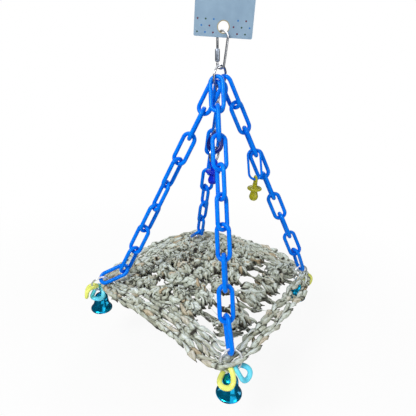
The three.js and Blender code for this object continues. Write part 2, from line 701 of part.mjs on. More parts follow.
// Middle dangle: fine chain, navy curb link, ring and dummy, each in the one above
const fineTop = insideApex(FINE_CHAIN_WIRE, 0);
const fineLoop = longLoop(FINE_CHAIN_SPAN, FINE_CHAIN_BEND, FINE_CHAIN_WIRE);
hang(addPiece("fine_chain", fineLoop, "nickel"), fineTop, DOWN, clipNormal);
const navyTop = along(fineTop, DOWN, FINE_CHAIN_SPAN - hookStep(FINE_CHAIN_WIRE, CURB_BAND));
hang(addPiece("navy_link", curbLoop(1), "navy"), navyTop, DOWN, clipAcross);
const dangleRingTop = CURB_LENGTH - CURB_BAND - hookStep(CURB_BAND, RING_WIRE);
const dangleCentre = along(navyTop, DOWN, dangleRingTop + DANGLE_RING_RADIUS);
const dangleRing = addPiece("dangle_ring", ringLoop(DANGLE_RING_RADIUS, RING_WIRE), "nickel");
stand(dangleRing, dangleCentre, UP, clipNormal.clone().negate());
const royalDrop = DANGLE_RING_RADIUS - hookStep(RING_WIRE, DUMMY_HANDLE_WIRE);
const royalTop = along(dangleCentre, DOWN, royalDrop);
hang(addPiece("royal_dummy", dummy(), "royal"), royalTop, DOWN, clipNormal);

export default toy;
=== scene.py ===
"""Looks of the hanging mat bird toy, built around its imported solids. Metres, +Z up."""
import math
import random

import bpy
import numpy as np
from mathutils import Matrix, Vector


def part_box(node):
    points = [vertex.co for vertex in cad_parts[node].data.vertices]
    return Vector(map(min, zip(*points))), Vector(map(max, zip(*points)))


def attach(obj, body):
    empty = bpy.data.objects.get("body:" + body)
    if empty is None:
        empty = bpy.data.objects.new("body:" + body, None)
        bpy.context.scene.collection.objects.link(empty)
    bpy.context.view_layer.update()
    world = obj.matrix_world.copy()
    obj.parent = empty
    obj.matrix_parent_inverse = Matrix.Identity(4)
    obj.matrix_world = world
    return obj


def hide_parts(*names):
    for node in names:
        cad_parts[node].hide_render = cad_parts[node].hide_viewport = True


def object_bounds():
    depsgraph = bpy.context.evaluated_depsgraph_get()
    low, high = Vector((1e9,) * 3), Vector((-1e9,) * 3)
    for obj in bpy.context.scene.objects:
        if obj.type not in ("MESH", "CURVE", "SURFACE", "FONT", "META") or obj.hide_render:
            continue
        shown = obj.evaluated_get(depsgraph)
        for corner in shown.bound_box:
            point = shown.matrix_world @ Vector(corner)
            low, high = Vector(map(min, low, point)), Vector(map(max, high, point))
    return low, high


SEED = 7
SIDES = ("left", "right", "front", "back")
UP = np.array((0.0, 0.0, 1.0))

# Sides and steps of the meshes
THICK_SIDES = 16
THIN_SIDES = 12
FINE_SIDES = 10
FINE_LINK_SIDES = 8
WHISKER_SIDES = 5
HANDLE_SIDES = 14
CURB_SIDES = 20
NUT_POINTS = 41
CORNER_STEPS = 8
SMALL_STEPS = 24
ROUND_STEPS = 48
RING_POINTS = 121
CURB_POINTS = 64
JUMP_POINTS = 32
DUMMY_STEPS = 40
CLAPPER_POINTS = 17

# Sizes close to the solids', with thinner wires to leave room for motion
CARD_WIDTH = 0.041
CARD_HEIGHT = 0.062
CARD_THICKNESS = 0.0006
CARD_CORNER = 0.001
CARD_HOLES = ((0.004, 0.0), (0.0038, -0.0462))
CARD_RIM = 0.0044
CARD_TOP = 0.009
CARD_BEVEL = 0.00005
DOT_ROWS = 3
DOT_COLUMNS = 7
DOT_STEP = 0.0056
DOT_STAGGER = 0.25
DOT_TOP = -0.0418
DOT_DROP = 0.0042
DOT_SIZE = 0.00062
DOT_CLEAR = 0.0055
DOT_INKS = ((88, 12, 42), (36, 74, 54), (26, 110, 180))
# Tan ring round the lower hole of the card
HOLE_RIM_TAN = (158, 148, 114)
CLIP_WIRE = 0.00174
CLIP_SPAN = 0.025
CLIP_TOP_RADIUS = 0.0044
CLIP_FOOT_RADIUS = 0.0029
CLIP_TURN = math.radians(34)
CLIP_MOUTH = 0.003
NUT_RADIUS = 0.00175
NUT_LENGTH = 0.0085
NUT_ABOVE_FOOT = 0.006
NUT_CHAMFER_FROM = 0.47
NUT_CHAMFER = 0.84
NUT_GROOVE_FROM = 0.36
NUT_GROOVE_TO = 0.4
NUT_GROOVE = 0.93
NUT_FLATS = 0.06
RING_WIRE = 0.00154
RING_CROSSING = math.radians(50)
RING_PITCH = 0.52
RING_FLAT = 0.5
RING_END = 0.12
RING_TIP = 0.35
CORNER_RING_RADIUS = 0.0076
DANGLE_RING_RADIUS = 0.0059
LINK_LENGTH = 0.0283
LINK_WIDTH = 0.0125
LINK_WIRE = 0.00318
LINKS = 9
SEAM_LEGS = (0.2, 0.4, 0.475, 0.488, 0.5, 0.512, 0.525, 0.6, 0.8)
SEAM_DEPTH = 0.16
CURB_WIDTH = 0.0134
CURB_LENGTH = 0.0174
CURB_BAND = 0.0036
CURB_THICKNESS = 0.0029
CURB_TWIST = 0.0018
CURB_SQUARE = 2.6
BELL_RADIUS = 0.0091
BELL_HEIGHT = 0.0158
BELL_CROWN = 0.0028
BELL_WALL = 0.0008
BELL_EYE_RADIUS = 0.0035
BELL_EYE_WIRE = 0.0014
BELL_EYE_SINK = 0.0004
# Bell outlines: shares of the radius, and of the height down from the crown
BELL_PROFILE = ((0.5, 0.1), (0.62, 0.24), (0.66, 0.45), (0.74, 0.66), (0.9, 0.86))
BELL_HOLLOW = ((0.88, 0.84), (0.72, 0.62), (0.62, 0.3))
CLAPPER_RADIUS = 0.0022
CLAPPER_DROP = 0.0142
CLAPPER_STEM = 0.0006
DUMMY_HANDLE_RADIUS = 0.003
DUMMY_HANDLE_WIRE = 0.002
DUMMY_NECK_RADIUS = 0.0019
DUMMY_NECK = 0.0036
DUMMY_SHIELD_RADIUS = 0.0059
DUMMY_SHIELD = 0.0024
DUMMY_TEAT_RADIUS = 0.0037
DUMMY_TEAT = 0.0095
DUMMY_TEAT_NECK = 0.0026
CHARM_LENGTH = 0.026
CHARM_WIDTH = 0.012
CHARM_WIRE = 0.0019
FINE_BEND = 0.0026
FINE_WIRE = 0.0011
FINE_LINK_LENGTH = 0.0044
FINE_LINK_WIDTH = 0.0031
FINE_LINK_WIRE = 0.0008
FINE_LINK_HOOK = 2.2
FINE_LINK_LAP = 1.7
MAT_OVERHANG = {"left": 0.005, "right": 0.011, "front": 0.0085, "back": 0.024}
MAT_DROP = 0.0005
MAT_DOME = 0.01
MAT_FRONT_LEFT_BOW = 0.002
MAT_FRONT_RIGHT_BOW = 0.0035
MAT_BACK_BOW = 0.012
MAT_LEFT_LAP = 0.007
MAT_RIGHT_LAP = 0.005
MAT_LAP_SAG = 0.3
MAT_BACK_LEFT_DROOP = 0.003
MAT_BACK_RIGHT_CURL = 0.0025
MAT_ROUNDING = 0.08
MAT_ROUND_LIMIT = 1.1
MAT_ROUND_POWER = 6
MAT_LAP_START = 0.1
MAT_LAP_RUN = 0.6
MAT_LAP_END = 20
HALF_SIDE = 0.068

# Camera, fitted to the photograph
CAMERA_PLACE = (-0.00201, -0.2946, -0.05856)
CAMERA_DOWN = math.radians(22.96)
CAMERA_ROLL = math.radians(3.95)
CAMERA_LENS = 33.19
CAMERA_SENSOR = 36
CAMERA_NEAR = 0.005

# Socket numbers of a mix of two colours
MIX_INPUTS = (0, 6, 7)
MIX_RESULT = 2

# Strands of the mat: their rims, twist, breaks and tones, with painted shade on their sides and in random
# notches
EDGE_SHADE = 0.5
STRAND_SCALE = 100
NEARLY_ALONG = 0.95
WIDE_STRAND = 0.005
WIDE_SIDES = 12
SLIM_SIDES = 8
STRAND_FLAT = 0.42
STRAND_FOLDS = 7
FOLD_DEPTH = 0.09
SHORT_TWIST = 0.024
LONG_TWIST = 0.045
LUMPS = (-0.28, 0.2)
ROPE_BROKEN = 0.5
# Random dark notches along strands are painted shade
NOTCH_SHARE = 0.16
NOTCH_SHADE = 1.0
TONE_STEP = 0.3
PALE_TONE = 0.85
BROWN_SHARE = 0.12
BROWN_TONES = (0.9, 1.0)
FACE_TILT = 0.7
END_WIDTH = 0.22
END_TAPER = 0.7
SLOW_WAVES = (1, 2)

# Clusters of the mat, row by row, and the bridges between them
ROWS = (-0.66, -0.44, -0.21, 0.03, 0.27, 0.66)
ROW_STAGGER = 0.25
COLUMNS = 7
COLUMN_STEP = 0.23
COLUMN_FIRST = -0.68
CLUSTER_SLIP = 0.03
CLUSTER_TURN = math.radians(65)
CLUSTER_HEIGHT = (0.75, 1.25)
CLUSTER_POINTS = 13
CLUSTER_POSTS = 4
CLUSTER_UNDER = 3
DENSE_SIZE = 0.0081
LOOSE_SIZE = 0.0096
LOOSE_START = -0.05
LOOSE_RUN = 0.5
LOOSE_SLIM = 0.3
LOOSE_THIN = 0.2
POST_BASE = 0.0003
POST_RISE = 0.0046
POST_SLOPE = 0.0014
POST_WIDTH = (0.005, 0.0074)
UNDER_BASE = -0.0006
UNDER_SAG = 0.0026
UNDER_WIDTH = (0.0036, 0.005)
CROSSING_BASE = 0.0006
# Wraps, then slivers: count, half length, shift, slant, place, arch power, rise, width, thinning
CROSSINGS = (
    (3, (0.45, 0.8), 0.2, 1.6, 0.75, 0.7, (0.004, 0.0066), (0.004, 0.006), LOOSE_THIN),
    (6, (0.25, 0.5), 0.3, 1.2, 0.6, 0.6, (0.004, 0.0074), (0.0016, 0.0034), 0.0),
)
# Painted shade: the lift at which a strand is darkest and the lift at which it has none, for tops, strands
# below and the cluster core, which is painted wholly dark
TOP_SHADE = (0.0009, 0.0036)
UNDER_SHADE = (0.0, -0.0044)
CLUSTER_CORE_SHADE = (0.02, 0.03)
BRIDGE_POINTS = 11
BRIDGE_SWAY = 0.0024
BRIDGE_LIFT = (-0.0004, 0.0016)
BRIDGE_WIDTH = (0.003, 0.0044)
BRIDGE_WANDER = 0.0006
# Painted shade lifts of the bridges
BRIDGE_SHADE = (-0.0012, 0.003)
EDGE_REACH = (0.8, 0.9)
EDGE_SLIP = 0.1
GAP_SHARE = 0.6

# Ropes of the border: share of the half side, lift, and how far along the mat each one runs
ROPES = ((0.985, 0.0003, 1.1), (0.895, 0.0012, 1.1), (0.8, 0.0016, 0.7))
STITCHES = 66
STITCH_POINTS = 9
STITCH_FINE = 12
STITCH_SPAN = 1.75
STITCH_SPANS = (0.75, 1.3)
STITCH_SHIFT = 0.2
STITCH_START = 0.0004
STITCH_SLIP = 0.0004
STITCH_WIDTH = 0.002
STITCH_RISE = 0.0019
STITCH_JITTER = 0.0009
STITCH_THICK = (0.0034, 0.0056)
ROPE_SWAY = 0.0011
ROPE_WAVES = (7, 13, 22)
ROPE_CORE = 0.0046
CORE_STEP = 3
CORE_DROP = 0.0006
CORE_TONE = 0.2
CORE_TWIST = 2.25
# Painted shade lifts, about each rope's own lift, for its core and its stitches
ROPE_CORE_SHADE = np.array((-0.0014, 0.0004))
STITCH_SHADE = np.array((-0.0012, 0.0009))
OPEN_START = 0.5
OPEN_RUN = 0.3
SLITS = 34
SLIT_POINTS = 9
SLIT_SHARES = (0.3, 0.9)
SLIT_LIFT = 0.0003
SLIT_RISE = (-0.0004, 0.002)
SLIT_INNER = 0.87
SLIT_OUTER = 0.98
SLIT_WIDTH = (0.0026, 0.0038)
# Painted shade lifts of the strands across the slits
SLIT_SHADE = (-0.002, 0.0022)
WHISKERS = 120
WHISKER_POINTS = 7
WHISKER_PLACE = 0.95
WHISKER_CURL = 0.5
WHISKER_LIFT = 0.003
WHISKER_TAPER = 0.7
WHISKER_RADIUS = 0.00026
WHISKER_REACH = (0.006, 0.013)
WHISKER_RISE = (0.001, 0.004)

# Stage
FLOOR_BELOW = 0.035
FLOOR_HALF = 3
FLOOR_NEAR = 0.16
FLOOR_FAR = 0.42
BACKDROP_SHARE = 0.9
# Dark sheets and glowing strips that only reflections see: painted reflections and painted highlights on the
# metal
DARK_REFLECTION_COLOUR = (0.02, 0.03, 0.04, 1)
DARK_ABOVE = 0.002
DARK_REFLECTION_REACH = 0.42
DARK_REFLECTION_TOP = 0.02
DARK_REFLECTION_STEPS = 36
GLOW_STRIP_ABOVE = 0.003
GLOW_STRIP_BEARING = math.radians(-57)
GLOW_STRIP_HALF = math.radians(22)
GLOW_STRIP_RUN = 0.13
WORLD_STRENGTH = 0.36
LAMP_TARGET = (0.0, 0.0, -0.16)
# Lamps: name, place, size and power
LAMPS = (
    ("key", (-0.5, -0.6, 0.45), 0.35, 6.6),
    ("fill", (0.7, -0.5, 0.1), 0.5, 1.5),
    ("rim", (0.2, 0.7, 0.4), 0.4, 2.0),
)

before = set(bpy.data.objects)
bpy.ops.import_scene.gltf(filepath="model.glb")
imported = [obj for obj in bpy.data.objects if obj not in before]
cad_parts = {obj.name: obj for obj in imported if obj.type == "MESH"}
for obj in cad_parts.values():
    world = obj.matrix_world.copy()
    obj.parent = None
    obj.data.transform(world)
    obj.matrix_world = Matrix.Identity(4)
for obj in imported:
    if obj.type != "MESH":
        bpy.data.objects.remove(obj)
cad_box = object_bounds()
rng = random.Random(SEED)
scene = bpy.context.scene


def linear(red, green, blue):
    """Screen colour from 0 to 255 as linear red, green, blue and alpha."""
    out = []
    for value in (red, green, blue):
        share = value / 255
        out.append(share / 12.92 if share <= 0.04045 else ((share + 0.055) / 1.055) ** 2.4)
    return (*out, 1.0)


# Materials


class Paint:
    """A node material being made, with its shader."""

    def __init__(self, name):
        self.material = bpy.data.materials.new(name)
        self.material.use_nodes = True
        self.tree = self.material.node_tree
        self.shader = self.tree.nodes["Principled BSDF"]

    def fill(self, node, inputs):
        """Sets or links the inputs of a node, each given by its name or number."""
        for key, value in inputs.items():
            if isinstance(value, bpy.types.NodeSocket):
                self.tree.links.new(value, node.inputs[key])
            else:
                node.inputs[key].default_value = value

    def node(self, kind, inputs, out, **settings):
        """Adds a node and gives one of its outputs."""
        made = self.tree.nodes.new(kind)
        for key, value in settings.items():
            setattr(made, key, value)
        self.fill(made, inputs)
        return made.outputs[out]

    def set(self, **inputs):
        self.fill(self.shader, {key.replace("_", " "): value for key, value in inputs.items()})

    def surface(self, shader):
        self.fill(self.tree.nodes["Material Output"], {"Surface": shader})

    def coords(self, kind="Object", scale=(1, 1, 1)):
        place = self.node("ShaderNodeTexCoord", {}, kind)
        return self.node("ShaderNodeMapping", {"Scale": scale, "Vector": place}, "Vector")

    def noise(self, vector, scale, detail, rough=0.55):
        inputs = {"Vector": vector, "Scale": scale, "Detail": detail, "Roughness": rough}
        return self.node("ShaderNodeTexNoise", inputs, "Fac")

    def ramp(self, factor, *stops):
        made = self.tree.nodes.new("ShaderNodeValToRGB")
        elements = made.color_ramp.elements
        while len(elements) < len(stops):
            elements.new(0.5)
        for element, (place, colour) in zip(elements, stops):
            element.position = place
            element.color = colour
        self.fill(made, {"Fac": factor})
        return made.outputs["Color"]

    def span(self, factor, low, high):
        return self.node("ShaderNodeMapRange", {"Value": factor, "To Min": low, "To Max": high}, "Result")

    def mix(self, factor, first, second, blend="MIX"):
        inputs = dict(zip(MIX_INPUTS, (factor, first, second)))
        return self.node("ShaderNodeMix", inputs, MIX_RESULT, data_type="RGBA", blend_type=blend)

    def bump(self, height, strength, distance):
        inputs = {"Height": height, "Strength": strength, "Distance": distance}
        self.set(Normal=self.node("ShaderNodeBump", inputs, "Normal"))


def plastic(name, light, dark, rough=0.22, clear=0.0, tint=(1, 1, 1, 1)):
    """Moulded gloss plastic with faint flow marks in its colour and gloss."""
    paint = Paint(name)
    place = paint.coords()
    colour = paint.ramp(paint.noise(place, 140, 4), (0.3, dark), (0.7, light))
    gloss = paint.span(paint.noise(place, 420, 3), rough - 0.07, rough + 0.1)
    paint.bump(paint.noise(place, 900, 2), 0.12, 0.0002)
    paint.set(Base_Color=colour, Roughness=gloss, Transmission_Weight=clear)
    paint.set(Specular_IOR_Level=0.35, Specular_Tint=tint)
    return paint.material


def wire_metal(name, light, dark, rough, metallic):
    """Bright plated wire with fine draw marks and small dull spots."""
    paint = Paint(name)
    place = paint.coords()
    colour = paint.ramp(paint.noise(place, 260, 5), (0.3, dark), (0.62, light))
    gloss = paint.span(paint.noise(place, 700, 4), rough - 0.1, rough + 0.18)
    paint.bump(paint.noise(paint.coords(scale=(1, 1, 0.15)), 2600, 2), 0.1, 0.0001)
    paint.set(Base_Color=colour, Roughness=gloss, Metallic=metallic)
    return paint.material


def bell_lacquer(name):
    """Teal lacquer on pressed metal, uneven in depth, with small scratches."""
    paint = Paint(name)
    place = paint.coords()
    depth = paint.noise(place, 190, 4)
    colour = paint.ramp(depth, (0.25, linear(0, 158, 212)), (0.75, linear(6, 196, 246)))
    gloss = paint.span(paint.noise(place, 800, 4), 0.06, 0.2)
    paint.bump(paint.noise(paint.coords(scale=(1, 1, 4)), 500, 3), 0.08, 0.0002)
    paint.set(Base_Color=colour, Roughness=gloss, Metallic=0.88, Coat_Weight=0.12, Coat_Roughness=0.06)
    return paint.material


def card_board(name):
    """Printed board: pale blue-grey with faint fibres, and low down dots and a rim round the hole."""
    paint = Paint(name)
    place = paint.coords()
    tone = paint.noise(place, 60, 5)
    colour = paint.ramp(tone, (0.3, linear(124, 151, 175)), (0.7, linear(140, 167, 189)))
    flat = paint.node("ShaderNodeVectorMath", {0: place, 1: (1, 0, 1)}, "Vector", operation="MULTIPLY")
    for x, z, size, ink in CARD_DOTS:
        gap = paint.node("ShaderNodeVectorMath", {0: flat, 1: (x, 0, z)}, "Value", operation="DISTANCE")
        spot = paint.node("ShaderNodeMath", {0: gap, 1: size}, "Value", operation="LESS_THAN")
        colour = paint.mix(spot, colour, ink)
    paint.set(Base_Color=colour, Roughness=paint.span(paint.noise(place, 300, 4), 0.5, 0.75))
    paint.bump(paint.noise(paint.coords(scale=(1, 1, 0.4)), 2200, 4), 0.1, 0.0001)
    return paint.material


def seagrass_cord(name):
    """Dry grass blades: streaks along each strand, tone by strand, and painted shade that darkens low
    strands, strand sides and random notches.
    """
    paint = Paint(name)
    fibre = paint.noise(paint.coords("UV", (1.0, 9, 1)), 2.0, 4, 0.6)
    streak = paint.noise(paint.coords("UV", (0.4, 4, 1)), 2.0, 3, 0.6)
    tone = paint.node("ShaderNodeAttribute", {}, "Fac", attribute_name="tone")
    base = paint.ramp(
        tone,
        (0.0, linear(214, 217, 204)), (0.35, linear(236, 246, 239)),
        (0.85, linear(246, 255, 253)), (1.0, linear(218, 196, 162)),
    )
    marks = paint.ramp(
        streak, (0.35, linear(136, 125, 104)), (0.45, linear(240, 242, 236)), (0.56, (1, 1, 1, 1)),
    )
    colour = paint.mix(0.9, base, marks, "MULTIPLY")
    fine = paint.ramp(fibre, (0.36, linear(176, 170, 152)), (0.52, (1, 1, 1, 1)))
    colour = paint.mix(0.7, colour, fine, "MULTIPLY")
    # Painted shade: darker for strands that lie low, for strand sides and for random notches, down to a dark
    # brown
    painted_shade = paint.node("ShaderNodeAttribute", {}, "Fac", attribute_name="painted_shade")
    shade = paint.ramp(
        painted_shade, (0.0, (1, 1, 1, 1)), (0.4, linear(220, 218, 208)), (1.0, linear(46, 39, 29)),
    )
    colour = paint.mix(1.0, colour, shade, "MULTIPLY")
    paint.set(Base_Color=colour, Roughness=paint.span(fibre, 0.5, 0.85))
    paint.bump(streak, 0.7, 0.0006)
    return paint.material


CARD_DOTS = []
for row in range(DOT_ROWS):
    for column in range(DOT_COLUMNS):
        x = (column - DOT_COLUMNS // 2 + (DOT_STAGGER if row % 2 else -DOT_STAGGER)) * DOT_STEP
        z = DOT_TOP - row * DOT_DROP
        ink = DOT_INKS[(column + 2 * row) % len(DOT_INKS)]
        if abs(x) > DOT_CLEAR:
            CARD_DOTS.append((x, z, DOT_SIZE, linear(*ink)))
CARD_DOTS.append((0.0, CARD_HOLES[1][1], CARD_RIM, linear(*HOLE_RIM_TAN)))

CARD = card_board("card_board")
NICKEL = wire_metal("nickel_wire", linear(226, 228, 232), linear(160, 162, 168), 0.2, 0.9)
BRIGHT_WIRE = wire_metal("bright_wire", linear(250, 251, 253), linear(206, 208, 214), 0.26, 0.6)
NUT_STEEL = wire_metal("nut_steel", linear(190, 200, 214), linear(120, 130, 146), 0.3, 0.85)
CHAIN = plastic("chain_blue", linear(0, 129, 248), linear(0, 111, 238), tint=(0.2, 0.7, 1, 1))
LEMON = plastic("curb_lemon", linear(248, 253, 142), linear(236, 240, 110))
SKY = plastic("curb_sky", linear(122, 236, 255), linear(94, 218, 255))
NAVY = plastic("curb_navy", linear(14, 36, 130), linear(8, 22, 96))
OLIVE = plastic("dummy_olive", linear(206, 204, 52), linear(176, 172, 30), 0.18, 0.25)
ROYAL = plastic("dummy_royal", linear(10, 48, 220), linear(4, 30, 180), 0.18, 0.15)
BELL = bell_lacquer("bell_teal")
SEAGRASS = seagrass_cord("seagrass_cord")


# Meshes


def lengths(path):
    """Length along a path up to each of its points."""
    return np.concatenate(([0.0], np.cumsum(np.linalg.norm(np.diff(path, axis=0), axis=1))))


def full_turn(steps):
    return 2 * np.pi * np.arange(steps) / steps


def unit(v):
    return v / np.linalg.norm(v, axis=-1, keepdims=True)


class Shape:
    """Vertices and faces gathered from tubes and turned bodies, with strand coordinates."""

    def __init__(self):
        self.spots = []
        self.faces = []
        self.places = []
        self.tones = []
        self.painted_shades = []
        self.count = 0

    def add(self, spots, faces, places=None, tone=0.0, painted_shade=None):
        """Adds a grid of points with faces that count from its own first point."""
        self.spots.append(np.asarray(spots, float).reshape(-1, 3))
        for number, face in enumerate(faces):
            self.faces.append([self.count + k for k in face])
            self.places.append(places[number] if places else [(0.0, 0.0)] * len(face))
        total = len(self.spots[-1])
        self.tones.append(np.zeros(total) + tone)
        self.painted_shades.append(np.zeros(total) if painted_shade is None else painted_shade)
        self.count += total

    def tube(
        self, path, radius, sides, closed=False, first=None, section=None, tone=0.0, painted_shade=None, turn=None,
    ):
        """A tube along a path. Its radius, tone and turn may differ from point to point."""
        path = np.asarray(path, float)
        total = len(path)
        if closed:
            ahead = unit(np.roll(path, -1, 0) - np.roll(path, 1, 0))
        else:
            ahead = unit(np.gradient(path, axis=0))
        side = np.empty_like(path)
        start = UP if first is None else np.asarray(first, float)
        if abs(start @ ahead[0]) > NEARLY_ALONG:
            start = np.array((1.0, 0.0, 0.0))
        for i in range(total):
            start = unit(start - ahead[i] * (start @ ahead[i]))
            side[i] = start
        across = np.cross(ahead, side)
        if closed:
            back = unit(side[-1] - ahead[0] * (side[-1] @ ahead[0]))
            slip = math.atan2(back @ across[0], back @ side[0])
            turn = -slip * np.arange(total) / total
        if turn is not None:
            c, s = np.cos(turn)[:, None], np.sin(turn)[:, None]
            side, across = c * side + s * across, c * across - s * side
        angle = full_turn(sides)
        rim = np.ones(sides) if section is None else section(angle)
        reach = ((np.zeros(total) + radius)[:, None] * rim)[:, :, None]
        ring = np.cos(angle)[None, :, None] * side[:, None] + np.sin(angle)[None, :, None] * across[:, None]
        spots = path[:, None] + reach * ring
        length = lengths(path) * STRAND_SCALE
        faces, places = [], []
        for i in range(total if closed else total - 1):
            n = (i + 1) % total
            far = length[i] + (length[1] if closed and n == 0 else length[n] - length[i])
            for j in range(sides):
                k = (j + 1) % sides
                faces.append((i * sides + j, i * sides + k, n * sides + k, n * sides + j))
                low, high = j / sides, (j + 1) / sides
                places.append([(length[i], low), (length[i], high), (far, high), (far, low)])
        if not closed:
            last = (total - 1) * sides
            faces.append(tuple(range(sides - 1, -1, -1)))
            faces.append(tuple(last + j for j in range(sides)))
            places += [[(0.0, 0.0)] * sides, [(0.0, 0.0)] * sides]
        depth = None
        if painted_shade is not None:
            # Painted shade: the given shade plus darker sides on each strand
            edge = EDGE_SHADE * (1 - np.abs(ring[:, :, 2])) ** 2
            depth = np.clip(np.asarray(painted_shade, float)[:, None] + edge, 0, 1).ravel()
        tones = np.repeat(np.zeros(total) + tone, sides)
        self.add(spots, faces, places, tones, depth)

    def turned(self, outline, place, steps):
        """A body of revolution round a vertical axis through a place, from (radius, height) points."""
        outline = np.asarray(outline, float)
        angle = full_turn(steps)
        spots = np.stack([
            outline[:, None, 0] * np.cos(angle), outline[:, None, 0] * np.sin(angle),
            np.repeat(outline[:, 1:2], steps, 1),
        ], -1) + np.asarray(place)
        faces = []
        for i in range(len(outline) - 1):
            for j in range(steps):
                k = (j + 1) % steps
                faces.append((i * steps + j, i * steps + k, (i + 1) * steps + k, (i + 1) * steps + j))
        faces.append(tuple(range(steps - 1, -1, -1)))
        faces.append(tuple((len(outline) - 1) * steps + j for j in range(steps)))
        self.add(spots, faces)

    def piece(self, name, material, body, replaces=True):
        """Makes the piece, on its body and in place of its solid."""
        mesh = bpy.data.meshes.new(name)
        mesh.from_pydata(np.concatenate(self.spots).tolist(), [], self.faces)
        mesh.materials.append(material)
        mesh.polygons.foreach_set("use_smooth", [True] * len(mesh.polygons))
        strand = mesh.uv_layers.new(name="strand")
        strand.data.foreach_set("uv", np.array([p for face in self.places for p in face], float).ravel())
        for key, values in (("tone", self.tones), ("painted_shade", self.painted_shades)):
            mesh.attributes.new(key, "FLOAT", "POINT").data.foreach_set("value", np.concatenate(values))
        mesh.validate()
        mesh.update()
        made = bpy.data.objects.new(name, mesh)
        scene.collection.objects.link(made)
        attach(made, body)
        if replaces:
            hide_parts(body)


def spots_of(node):
    """The different points of a solid."""
    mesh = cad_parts[node].data
    spots = np.empty(len(mesh.vertices) * 3)
    mesh.vertices.foreach_get("co", spots)
    return np.unique(np.round(spots.reshape(-1, 3), 7), axis=0)


def axes_of(node):
    """Middle of a looped solid, and its long, wide and thin directions."""
    spots = spots_of(node)
    middle = spots.mean(0)
    _, turned = np.linalg.eigh(np.cov((spots - middle).T))
    long, wide = turned[:, 2], turned[:, 1]
    return middle, long, wide, np.cross(long, wide)


def arc(x, z, radius, start, finish, steps):
    angle = np.radians(np.linspace(start, finish, steps + 1))
    return np.stack([x + radius * np.cos(angle), z + radius * np.sin(angle)], 1)


def loop_path(length, width, wire, legs):
    """Middle line of a long loop in its own plane, with points at given shares of each leg."""
    bend = (width - wire) / 2
    run = length / 2 - wire / 2 - bend
    shares = np.asarray(legs)
    up = np.stack([np.full(len(shares), bend), (2 * shares - 1) * run], 1)
    down = np.stack([np.full(len(shares), -bend), (1 - 2 * shares) * run], 1)
    return np.concatenate([arc(0, run, bend, 0, 180, 18), down, arc(0, -run, bend, 180, 360, 18), up])


def placed(path, middle, wide, long):
    return middle + path[:, :1] * wide + path[:, 1:] * long


def moulded_link(node, length, width, wire):
    """A moulded chain link with the snap seam across one leg."""
    middle, long, wide, thin = axes_of(node)
    path = loop_path(length, width, wire, SEAM_LEGS)
    radius = np.full(len(path), wire / 2)
    radius[-1 - len(SEAM_LEGS) // 2] *= 1 - SEAM_DEPTH
    shape = Shape()
    shape.tube(placed(path, middle, wide, long), radius, THICK_SIDES, True, thin)
    shape.piece(f"{node}_moulding", CHAIN, node)


def split_ring(place, radius, material):
    """Two coils of flat wire side by side, with the step where one crosses to the other."""
    node = f"{place}_ring"
    middle, one, two, thin = axes_of(node)
    turns = np.linspace(0, 4 * np.pi, RING_POINTS)
    cross = np.clip((turns - 2 * np.pi) / RING_CROSSING + 0.5, 0, 1)
    level = (cross * cross * (3 - 2 * cross) - 0.5) * RING_WIRE * RING_PITCH
    circle = np.cos(turns)[:, None] * one + np.sin(turns)[:, None] * two
    path = middle + radius * circle + level[:, None] * thin
    taper = np.clip(np.minimum(turns, 4 * np.pi - turns) / RING_END, RING_TIP, 1)

    def flat(angle):
        return 1 / np.sqrt((np.cos(angle) / RING_FLAT) ** 2 + np.sin(angle) ** 2)

    shape = Shape()
    shape.tube(path, RING_WIRE / 2 * taper, THIN_SIDES, False, thin, flat)
    shape.piece(f"{place}_split_ring", material, node)


def curb_link(node, material):
    """A twisted oval link of flat band."""
    middle, long, wide, thin = axes_of(node)
    local = (spots_of(node) - middle) @ np.stack([wide, thin, long], 1)
    hand = 1 if np.sum(local[:, 0] * local[:, 1] * local[:, 2]) > 0 else -1
    angle = full_turn(CURB_POINTS)
    x = (CURB_WIDTH - CURB_BAND) / 2 * np.cos(angle)
    y = hand * CURB_TWIST * np.sin(2 * angle)
    z = (CURB_LENGTH - CURB_BAND) / 2 * np.sin(angle)
    path = middle + x[:, None] * wide + y[:, None] * thin + z[:, None] * long

    def band(angle):
        flat = np.abs(np.cos(angle) * CURB_BAND / CURB_THICKNESS)
        return (flat ** CURB_SQUARE + np.abs(np.sin(angle)) ** CURB_SQUARE) ** (-1 / CURB_SQUARE)

    shape = Shape()
    shape.tube(path, CURB_BAND / 2, CURB_SIDES, True, thin, band)
    shape.piece(f"{node}_moulding", material, node)


def upper_way(node, share):
    """Level direction in which the top part of a hanging solid is widest."""
    spots = spots_of(node)
    top = spots[spots[:, 2] > spots[:, 2].max() - share]
    plan = top[:, :2] - top[:, :2].mean(0)
    _, turned = np.linalg.eigh(plan.T @ plan)
    return np.array((turned[0, 1], turned[1, 1], 0.0))


def hung(node):
    """Upright axis of a hanging node, and the top of its box."""
    low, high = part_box(node)
    return np.array(((low.x + high.x) / 2, (low.y + high.y) / 2, 0.0)), high.z


def eye_loop(shape, middle, way, radius, wire, sides):
    """A standing ring of wire."""
    angle = full_turn(ROUND_STEPS)
    rise = radius * np.sin(angle)[:, None] * UP
    path = middle + radius * np.cos(angle)[:, None] * way + rise
    shape.tube(path, wire / 2, sides, True)


def smooth_line(points, steps):
    """A rounded line through (radius, height) points."""
    points = np.asarray(points, float)
    padded = np.concatenate([2 * points[:1] - points[1:2], points, 2 * points[-1:] - points[-2:-1]])
    out = []
    for i in range(len(points) - 1):
        a, b, c, d = padded[i:i + 4]
        for t in np.linspace(0, 1, steps, endpoint=False):
            spot = 2 * b + (c - a) * t
            spot = spot + (2 * a - 5 * b + 4 * c - d) * t * t
            spot = spot + (3 * b - a - 3 * c + d) * t ** 3
            out.append(0.5 * spot)
    out.append(points[-1])
    return np.asarray(out)


